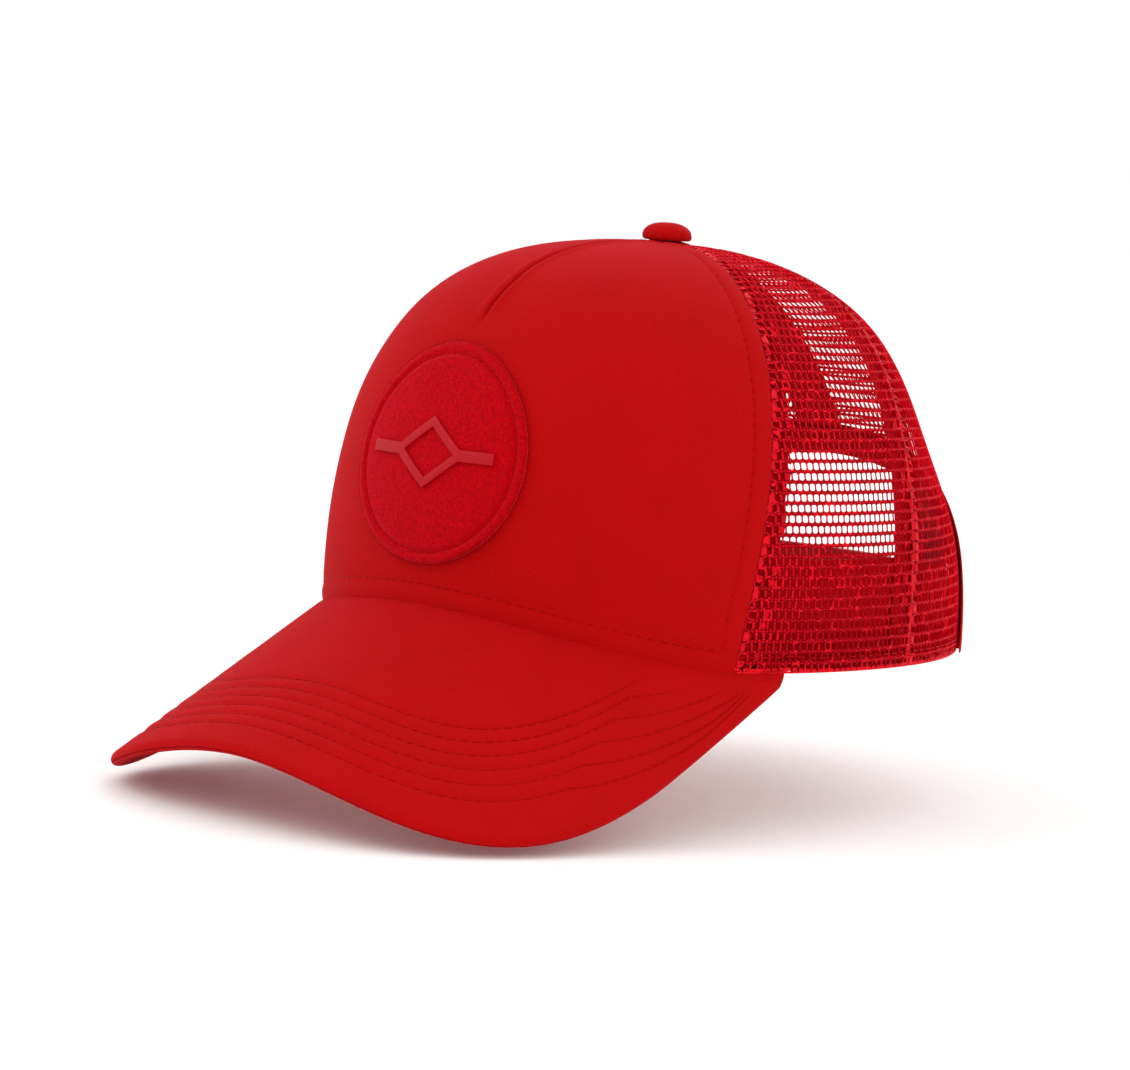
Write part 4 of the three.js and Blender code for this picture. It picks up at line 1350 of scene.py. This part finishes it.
class CAP_OT_visor(bpy.types.Operator):
    """Cover the visor on both sides, round its edge and stitch its rows"""
    bl_idname = "cap.visor"
    bl_label = "Visor"

    def execute(self, context):
        settings = context.scene.cap_visor
        plan = VisorPlan()
        first, pitch = settings.first_row / MM, settings.row_spacing / MM
        insets = [first + k * pitch for k in range(settings.stitch_rows)]
        thickness, radius = VISOR["thickness"], VISOR["thickness"] / 2
        # Rows of the grid: around the edge's quarter round, then in step with the stitching.
        turn = np.radians(np.linspace(4, 90, 8))
        step = pitch / 6
        count = int((first - radius - 0.4) / step)
        face = first + step * np.arange(-count, 6 * settings.stitch_rows + 2)
        inner = np.concatenate([face, np.arange(face[-1] + 2, plan.reach(plan.u).max() + 2, 2.0)])
        inset_nodes = np.concatenate([radius * (1 - np.cos(turn)), inner])
        drop_nodes = np.concatenate([radius * (1 - np.sin(turn)), np.zeros(len(inner))])
        columns = 230
        # Columns are evenly spaced around the outline.
        u_nodes = np.interp(np.linspace(0, plan.around[-1], columns + 1), plan.around, plan.u)
        covers = (("visor_top_cloth", "visor_top_cover", 1), ("visor_under_cloth", "visor_under_cover", -1))
        for name, node, up in covers:
            obj = cloth_grid(name, columns, len(inset_nodes) - 1)
            grid = points_of(obj)
            across = grid[:, 0] if up == 1 else 1 - grid[:, 0]
            u = u_nodes[np.rint(across * columns).astype(int)]
            k = np.rint(grid[:, 1] * (len(inset_nodes) - 1)).astype(int)
            reach = plan.reach(u)
            inset = np.minimum(inset_nodes[k], reach)
            depth = drop_nodes[k].copy()
            around = plan.look(plan.around, u)
            for row in insets:
                strength = smooth(reach - row, 2.5, 6)
                drawn_in, swollen = bell(inset, row, 0.62), bell(inset, row + pitch / 2, 1.3)
                depth += strength * (0.42 * drawn_in - 0.07 * swollen)
            crown_side = reach - inset
            depth += 0.35 * np.clip(1 - crown_side / 1.2, 0, 1) ** 2
            swell = np.array([noise.noise((a * 0.05, b * 0.05, 8.1 * up)) for a, b in zip(around, inset)])
            depth += 0.12 * swell * smooth(inset, 4, 12)
            x, y = plan.plan(u, inset)
            lay(obj, visor_at(x, y, depth if up == 1 else thickness - depth), np.stack([x, y], -1))
            tidy_mesh(obj, 0.02 * MM)
            thicken(obj, 0.62)
            finish_piece(obj, brushed_twill(context), "crown", [node])

        for name, up in (("visor_top_stitching", 1), ("visor_under_stitching", -1)):
            seams = []
            for row in insets:
                u = np.interp(np.linspace(0, plan.around[-1], 700), plan.around, plan.u)
                u = u[plan.reach(u) > row + 3.5]
                x, y = plan.plan(u, np.full_like(u, row))
                depth = 0.34 if up == 1 else thickness - 0.34
                seams.append((visor_at(x, y, np.full_like(u, depth)), visor_normal(x, y) * up))
            sew(context, name, seams)
        return {"FINISHED"}


class CAP_OT_visor_seam(bpy.types.Operator):
    """Turn the visor's seam allowance up inside the crown, between the front and the sweatband"""
    bl_idname = "cap.visor_seam"
    bl_label = "Visor Seam"

    def execute(self, context):
        # Height over the crown's lower edge against depth, from the visor's lower cover inwards.
        end = 67.0
        rises = np.array([-4.4, -4.25, -3.7, -2.4, -0.6, 1.2])
        depths = np.array([0.1, 0.9, 2.2, 3.6, 4.5, 4.62])

        def under(u, v):
            bearing = mix(end, -end, u)
            inward = 1 - smooth(np.abs(bearing), 60, 66)
            rise = np.interp(v, np.linspace(0, 1, 6), rises)
            depth = np.interp(v, np.linspace(0, 1, 6), depths)
            z = rim_height(bearing) + mix(0.4 + 0.8 * v, rise, inward)
            depth = mix(3.6 + 1.0 * v, depth, inward)
            pucker = 0.12 * np.sin(bearing * 5.1) * bell(v, 0.45, 0.25)
            return bearing, sweep_at_height(bearing, z), depth + pucker, np.stack([bearing * 1.5, v * 8], -1)

        def above(u, v):
            bearing = mix(-end, end, u)
            below = 1.1 * (1 - smooth(np.abs(bearing), 60, 65))
            z = rim_height(bearing) + mix(-below, 7.5, v)
            depth = mix(0.25, 1.22, smooth(v, 0.02, 0.2))
            return bearing, sweep_at_height(bearing, z), depth, np.stack([bearing * 1.5, v * 9], -1)

        parts = [drape("allowance", 160, 20, under, 0.3), drape("allowance", 160, 16, above, 0.3)]
        finish_piece(join("visor_seam_allowance", parts), brushed_twill(context), "crown")
        return {"FINISHED"}


# ---------------------------------------------------------------- button

class CAP_OT_button(bpy.types.Operator):
    """Cover the top button with gathered cloth"""
    bl_idname = "cap.button"
    bl_label = "Top Button"

    def execute(self, context):
        low, high = box_mm("button_cover")
        radius, foot, top = high[0], low[2], high[2]
        drop = top - foot
        outline = [(radius - 2.6, foot), (radius - 0.9, foot + 0.02), (radius - 0.35, foot + 0.3),
                   (radius - 0.08, foot + 0.85), (radius, foot + 1.5), (radius - 0.12, foot + 2.1)]
        for turn in np.linspace(0.28, 1.44, 14):
            flat = math.cos(turn) ** 0.8, math.sin(turn) ** 1.12
            outline.append(((radius - 0.02) * flat[0], foot + 1.7 + (drop - 1.7) * flat[1]))
        outline.append((0, top))
        obj = turned_form("button_cloth", outline, 96)
        points = points_of(obj) / MM
        angle = np.arctan2(points[:, 1], points[:, 0])
        r = np.hypot(points[:, 0], points[:, 1])
        # The cloth is gathered under the rim, so its pleats show low down and fade out upwards.
        pleat = 0.16 * np.cos(16 * angle) + 0.06 * np.cos(23 * angle + 1)
        pleat *= bell(points[:, 2], foot + 0.3, 1.1)
        scale = 1 + pleat / np.maximum(r, 1) * smooth(r, 3, 6)
        points[:, :2] *= scale[:, None]
        lay(obj, points, points[:, :2])
        thicken(obj, 0.4)
        finish_piece(obj, brushed_twill(context), "crown", ["button_cover"])

        # The tips of the panels meet in a puckered ring around the button's post.
        seat = 113.0
        rings = [(2.15, 0.2), (2.15, 1.7), (2.7, 1.8), (3.5, 1.6), (4.4, 1.25), (5.5, 1.0), (6.9, 0.7),
                 (7.1, 0.2), (2.15, 0.0)]
        obj = turned_form("button_seat", [(r, seat + z) for r, z in rings], 60)
        points = points_of(obj) / MM
        angle = np.arctan2(points[:, 1], points[:, 0])
        points[:, 2] += 0.1 * np.cos(10 * angle) * (points[:, 2] > seat + 0.5)
        lay(obj, points, points[:, :2])
        tidy_mesh(obj)
        finish_piece(obj, brushed_twill(context), "crown")
        return {"FINISHED"}


# ---------------------------------------------------------------- patch

PATCH = {"height": 53.4, "gap": 0.3, "thickness": 1.5}


def on_front(right, up, out):
    """Carries a flat drawing, in mm from its middle and out from the patch's back, onto the front."""
    height, depth = PATCH["height"], -PATCH["gap"] - np.asarray(out, float)
    middle = sweep_at_height(0.0, height)
    here = crown_surface(0.0, middle)
    above = crown_surface(0.0, sweep_at_height(0.0, height + 1))
    z = height + up / np.linalg.norm(above - here)
    bearing = np.degrees(right / np.hypot(here[0], here[1]))
    return crown_at(bearing, sweep_at_height(bearing, z), depth)


class CAP_OT_patch(bpy.types.Operator):
    """Press the round felt patch, sew its groove and stand the plain motif on it"""
    bl_idname = "cap.patch"
    bl_label = "Felt Patch"

    def execute(self, context):
        settings = context.scene.cap_patch
        radius, inset = settings.radius / MM, settings.groove_inset / MM
        thick = PATCH["thickness"]
        profile = [(radius - 0.35, 0.0), (radius, 0.35), (radius, 0.85), (radius - 0.2, 1.25),
                   (radius - 0.6, thick)]
        profile += [(r, thick) for r in np.arange(radius - 1.1, 0.6, -0.5)] + [(0.5, thick), (0, thick)]
        obj = turned_form("felt_patch", profile, 256)
        points = points_of(obj) / MM
        r = np.hypot(points[:, 0], points[:, 1])
        groove = radius - inset
        height = points[:, 2] - smooth(points[:, 2], 0.8, thick) * (
            0.85 * bell(r, groove, 0.75) - 0.12 * bell(r, groove + 1.7, 0.9))
        fibre = np.array([noise.fractal((a * 1.15, b * 1.15, 2.2), 0.8, 2.0, 3) for a, b, _ in points])
        loose = 1 + 1.2 * smooth(r, radius - 2, radius)
        height += 0.1 * fibre * loose * smooth(points[:, 2], 0.2, 1)
        edge = 1 + 0.004 * fibre * smooth(r, radius - 1.5, radius)
        flat = points[:, :2] * edge[:, None]
        lay(obj, on_front(flat[:, 0], flat[:, 1], height), flat)
        finish_piece(obj, wool_felt(context), "crown", ["patch_felt"], smooth_angle=80)

        turn = np.linspace(0, 2 * math.pi, 400)
        x, y = groove * np.cos(turn), groove * np.sin(turn)
        points = on_front(x, y, np.full_like(x, thick - 0.78))
        lifted = on_front(x, y, np.full_like(x, thick + 0.4))
        sew(context, "patch_stitching", [(points, unit(lifted - points))], pitch=2.6)
        self.fuzz(context, radius, thick)
        self.motif(context)
        return {"FINISHED"}

    def fuzz(self, context, radius, thick):
        """Loose fibres standing off the felt, most of them at its edge: one is modelled, as a
        drawn-out cone, and copied."""
        deselect()
        bpy.ops.mesh.primitive_cone_add(vertices=3, radius1=0.035 * MM, radius2=0, depth=1 * MM,
                                        location=(0, 0, 0.5 * MM))
        bpy.ops.object.transform_apply(location=True)
        points, faces = mesh_data(named("fibre"))
        template = (points / MM, faces)
        random = np.random.default_rng(11)
        count = 5200
        out = np.where(random.random(count) < 0.5, random.normal(radius - 0.25, 0.3, count),
                       radius * np.sqrt(random.random(count)))
        out = np.minimum(out, radius - 0.05)
        turn = random.random(count) * 2 * math.pi
        x, y = out * np.cos(turn), out * np.sin(turn)
        base = on_front(x, y, np.full(count, thick - 0.25))
        up = unit(on_front(x, y, np.full(count, thick + 0.7)) - base)
        lean = random.normal(0, 1, (count, 3))
        away = unit(base - on_front(np.zeros(1), np.zeros(1), np.full(1, -PATCH["gap"])))
        tip = unit(up + 0.75 * unit(lean) + 0.9 * away * smooth(out, radius - 2, radius)[:, None])
        side = unit(np.cross(tip, lean))
        length = random.uniform(0.35, 0.95, count)[:, None]
        frames = np.stack([side, np.cross(tip, side), tip * length, base], 1)
        obj = copies("felt_fibres", template, frames)
        finish_piece(obj, wool_felt(context), "crown")

    def motif(self, context):
        """A lozenge frame with a bar out of each side, bevelled and bent to the crown."""
        half_length, half_width, half_height, line, rim = 22, 13, 10, 1.6, 3
        sunk, rise = 0.35, 1.3     # how deep it is sunk into the felt, and its height from there
        deselect()
        bpy.ops.mesh.primitive_circle_add(vertices=4, radius=1, fill_type="NGON")
        obj = sized("patch_motif", half_width, half_height)
        width = rim * half_width / math.hypot(half_width, half_height)
        bpy.ops.object.mode_set(mode="EDIT")
        bpy.ops.mesh.select_all(action="SELECT")
        bpy.ops.mesh.inset(thickness=width, use_even_offset=True)
        bpy.ops.mesh.delete(type="FACE")
        draw_up(obj, 1)
        inner = half_width * (1 - line / half_height) - 1.5
        for side in (-1, 1):
            deselect()
            bpy.ops.mesh.primitive_cube_add(size=1, location=(side * (inner + half_length) / 2, 0, 0.5))
            bar = sized("bar", half_length - inner, 2 * line)
            apply_modifier(obj, "BOOLEAN", operation="UNION", object=bar, solver="EXACT")
            bpy.data.objects.remove(bar)
        round_edges(obj, 0.32)
        cut_across(obj, np.arange(-21, 22, 3) + 0.013)
        flat = points_of(obj)
        out = PATCH["thickness"] - sunk + flat[:, 2] * rise
        lay(obj, on_front(flat[:, 0], flat[:, 1], out), flat[:, :2])
        tidy_mesh(obj, 0.005 * MM)
        finish_piece(obj, raised_print(context), "crown", ["patch_emblem"], smooth_angle=35)


# ---------------------------------------------------------------- snap closure

SNAP = {"low": 3, "high": 21, "start": 128.8, "hinge": 138, "tip": 195, "pitch": 5.7, "count": 7,
        "middle_snap": 4, "hole": 3.2, "corner": 5.5, "middle": 12, "thickness": 1.4}


class StrapPath:
    """The strap's way round the back, as bearings against millimetres along it."""

    def __init__(self, depth):
        self.bearing = np.linspace(SNAP["start"], SNAP["tip"], 400)
        points = strap_at(self.bearing, np.full(400, float(SNAP["middle"])), np.full(400, float(depth)))
        steps = np.linalg.norm(np.diff(points, axis=0), axis=1)
        self.along = np.concatenate([[0], np.cumsum(steps)])

    def bearing_of(self, along):
        return np.interp(along, self.along, self.bearing)

    def along_of(self, bearing):
        return float(np.interp(bearing, self.bearing, self.along))


def snap_bearings():
    return [180 + (k - SNAP["middle_snap"]) * SNAP["pitch"] for k in range(SNAP["count"])]


def strap_blank(context, name, path, with_holes):
    """A flat strap in mm, X along it and Y its height: drawn out of a plane, its ends rounded, its
    holes cut, its edges bevelled, and cut across often enough to bend."""
    length = path.along[-1]
    deselect()
    bpy.ops.mesh.primitive_plane_add(size=1, location=(0.5, 0, 0))
    bpy.ops.object.transform_apply(location=True)
    obj = sized(name, length, SNAP["high"] - SNAP["low"])
    edit_some(obj, "VERT", lambda vertex: True)
    bpy.ops.mesh.bevel(affect="VERTICES", offset=SNAP["corner"], segments=8)
    draw_up(obj, -SNAP["thickness"])
    if with_holes:
        deselect()
        cutters = []
        for bearing in snap_bearings():
            bpy.ops.mesh.primitive_cylinder_add(vertices=32, radius=SNAP["hole"], depth=6,
                                                location=(path.along_of(bearing), 0, 0))
            cutters.append(bpy.context.object)
        cutter = join("cutter", cutters)
        bpy.ops.object.transform_apply(location=True)
        apply_modifier(obj, "BOOLEAN", operation="DIFFERENCE", object=cutter, solver="EXACT")
        bpy.data.objects.remove(cutter)
    round_edges(obj, context.scene.cap_snap.edge / MM)
    cut_across(obj, np.arange(2.0, length - 0.5, 2.0) + 0.0137)
    return obj


def lay_strap(obj, path, side, layer, shift):
    flat = points_of(obj)
    bearing = path.bearing_of(flat[:, 0])
    points = strap_at(side * bearing, SNAP["middle"] + flat[:, 1], layer + shift(bearing) - flat[:, 2])
    lay(obj, points, flat[:, :2])
    if side == RIGHT:
        turn_over(obj)


def bend_at_hinge(obj, side):
    """Bakes the strap's placement into its mesh. The points either side of its hinge are worked out but not
    used.
    """
    ends = [strap_at(np.array(side * b), np.array(12.0), np.array(3.1)) * MM
            for b in (SNAP["hinge"] - 1.6, SNAP["hinge"] + 2.4)]
    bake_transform(obj)


class CAP_OT_snap_closure(bpy.types.Operator):
    """Mould the two snap straps, one with holes and one with pegs"""
    bl_idname = "cap.snap_closure"
    bl_label = "Snap Closure"

    def execute(self, context):
        material = moulded_plastic(context)
        outer, inner = 2.4, 4.1
        path = StrapPath(outer)
        obj = strap_blank(context, "strap_with_holes", path, True)
        lay_strap(obj, path, RIGHT, outer, lambda bearing: 0 * bearing)
        finish_piece(obj, material, None, ["hole_strap", "hole_strap_tab"], smooth_angle=35)
        bend_at_hinge(obj, RIGHT)

        path = StrapPath(inner)
        strap = strap_blank(context, "strap_with_pegs", path, False)

        def rise(bearing):
            return (outer - inner) * (1 - smooth(bearing, SNAP["hinge"] + 2, SNAP["hinge"] + 20))
        lay_strap(strap, path, LEFT, inner, rise)
        # A peg: a short stem with a rounded head that springs through a hole.
        outline = [(1.75, -0.3), (1.45, 0.1), (1.3, 0.35), (1.3, 1.1), (1.62, 1.22), (1.9, 1.45),
                   (1.86, 1.7), (1.6, 1.95), (1.1, 2.04), (0.5, 2.06), (0, 2.06)]
        peg = turned_form("peg", outline, 28)
        points, faces = mesh_data(peg)
        frames = []
        for bearing in snap_bearings():
            b, z = np.array(float(bearing)), np.array(float(SNAP["middle"]))
            place = strap_at(b, z, np.array(inner))
            out = unit(strap_at(b, z, np.array(inner - 1.0)) - place)
            side = unit(np.cross((0, 0, 1), out))
            frames.append([side, np.cross(out, side), out, place])
        pegs = copies("pegs", (points / MM, faces), frames)
        pegs.data.uv_layers.new(name="cloth")
        obj = join("strap_with_pegs", [strap, pegs])
        finish_piece(obj, material, None, ["peg_strap", "peg_strap_tab"], smooth_angle=35)
        bend_at_hinge(obj, LEFT)
        return {"FINISHED"}


class CAP_OT_hidden_parts(bpy.types.Operator):
    """Finish the moulded and pressed parts inside the visor and the button"""
    bl_idname = "cap.hidden_parts"
    bl_label = "Board and Button Parts"

    def execute(self, context):
        finishes = {"visor_board": board_plastic(context), "button_shell": pressed_steel(context),
                    "button_washer": pressed_steel(context), "button_post": pressed_steel(context)}
        for node, material in finishes.items():
            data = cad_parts[node].data
            data.materials.clear()
            data.materials.append(material)
        return {"FINISHED"}


# ---------------------------------------------------------------- stage

class CAP_OT_stage(bpy.types.Operator):
    """Set out the floor, the soft lights and the camera"""
    bl_idname = "cap.stage"
    bl_label = "Floor, Lights and Camera"

    def execute(self, context):
        settings = context.scene.cap_stage
        low = CAD_BOX[0].z
        deselect()
        bpy.ops.mesh.primitive_plane_add(size=60, location=(0, 0, low - 0.002))
        floor = named("floor")
        bpy.ops.object.transform_apply(location=True)
        floor.data.materials.append(floor_paint(context))

        context.scene.view_settings.view_transform = "Standard"     # keeps the dyed red saturated
        world = bpy.data.worlds.new("studio")
        context.scene.world = world
        world.use_nodes = True
        background = world.node_tree.nodes["Background"]
        background.inputs["Color"].default_value = (1, 1, 1, 1)
        background.inputs["Strength"].default_value = 1.05

        # Softboxes: a large one high on the camera's left, one on its right, one behind.
        lights = (("main_softbox", (-1.1, -1.2, 1.5), 1.6, settings.light_power),
                  ("side_softbox", (1.8, -0.7, 0.9), 1.4, settings.light_power * 0.75),
                  ("back_softbox", (0.2, 1.7, 1.2), 1.4, settings.light_power * 0.6))
        for name, place, size, power in lights:
            lamp = bpy.data.lights.new(name, "AREA")
            lamp.shape, lamp.size, lamp.energy = "SQUARE", size, power
            obj = bpy.data.objects.new(name, lamp)
            context.scene.collection.objects.link(obj)
            obj.location = place
            obj.rotation_euler = (Vector((0, 0, 0.03)) - Vector(place)).to_track_quat("-Z", "Y").to_euler()

        self.camera(context)
        return {"FINISHED"}

    def camera(self, context):
        """The eye stands in front of the wearer's left, a little above the rim."""
        azimuth, elevation, roll = (math.radians(a) for a in (41.53, 5.67, 3.83))
        distance, shift_right, shift_up = 1.25894, -0.02203, 0.02767
        back = Vector((math.sin(azimuth) * math.cos(elevation), -math.cos(azimuth) * math.cos(elevation),
                       math.sin(elevation)))
        level = Vector((math.cos(azimuth), math.sin(azimuth), 0))
        upright = back.cross(level)
        right = level * math.cos(roll) + upright * math.sin(roll)
        up = upright * math.cos(roll) - level * math.sin(roll)
        data = bpy.data.cameras.new("studio_camera")
        data.sensor_fit, data.sensor_width, data.lens = "HORIZONTAL", 36, 136.24
        data.clip_start, data.clip_end = 0.1, 100
        camera = bpy.data.objects.new("studio_camera", data)
        context.scene.collection.objects.link(camera)
        turned = Matrix((right, up, back)).transposed().to_4x4()
        eye = right * shift_right + up * shift_up + back * distance
        camera.matrix_world = Matrix.Translation(eye) @ turned
        context.scene.camera = camera


# ---------------------------------------------------------------- the add-on

STEPS = (CAP_OT_front_panel, CAP_OT_front_stiffener, CAP_OT_mesh_panels, CAP_OT_seam_tapes,
         CAP_OT_arch_binding, CAP_OT_sweatband, CAP_OT_visor, CAP_OT_visor_seam, CAP_OT_button,
         CAP_OT_patch, CAP_OT_snap_closure, CAP_OT_hidden_parts, CAP_OT_stage)

SETTINGS = {"cap_cloth": CapClothSettings, "cap_mesh": CapMeshSettings, "cap_visor": CapVisorSettings,
            "cap_patch": CapPatchSettings, "cap_snap": CapSnapSettings, "cap_stage": CapStageSettings}


class CAP_PT_pieces(bpy.types.Panel):
    """Lists the cap's settings and the steps that make it"""
    bl_idname = "CAP_PT_pieces"
    bl_label = "Trucker Cap"
    bl_space_type = "VIEW_3D"
    bl_region_type = "UI"
    bl_category = "Cap"

    def draw(self, context):
        layout = self.layout
        for group in SETTINGS:
            settings = getattr(context.scene, group)
            column = layout.column()
            for key in settings.__annotations__:
                column.prop(settings, key)
        for step in STEPS:
            layout.operator(step.bl_idname)


def register():
    for group in SETTINGS.values():
        bpy.utils.register_class(group)
    for name, group in SETTINGS.items():
        setattr(bpy.types.Scene, name, PointerProperty(type=group))
    for step in (*STEPS, CAP_PT_pieces):
        bpy.utils.register_class(step)


def unregister():
    for step in (CAP_PT_pieces, *reversed(STEPS)):
        bpy.utils.unregister_class(step)
    for name in SETTINGS:
        delattr(bpy.types.Scene, name)
    for group in reversed(SETTINGS.values()):
        bpy.utils.unregister_class(group)


def main():
    register()
    for step in STEPS:
        group, name = step.bl_idname.split(".")
        getattr(getattr(bpy.ops, group), name)()


if __name__ == "__main__":
    main()
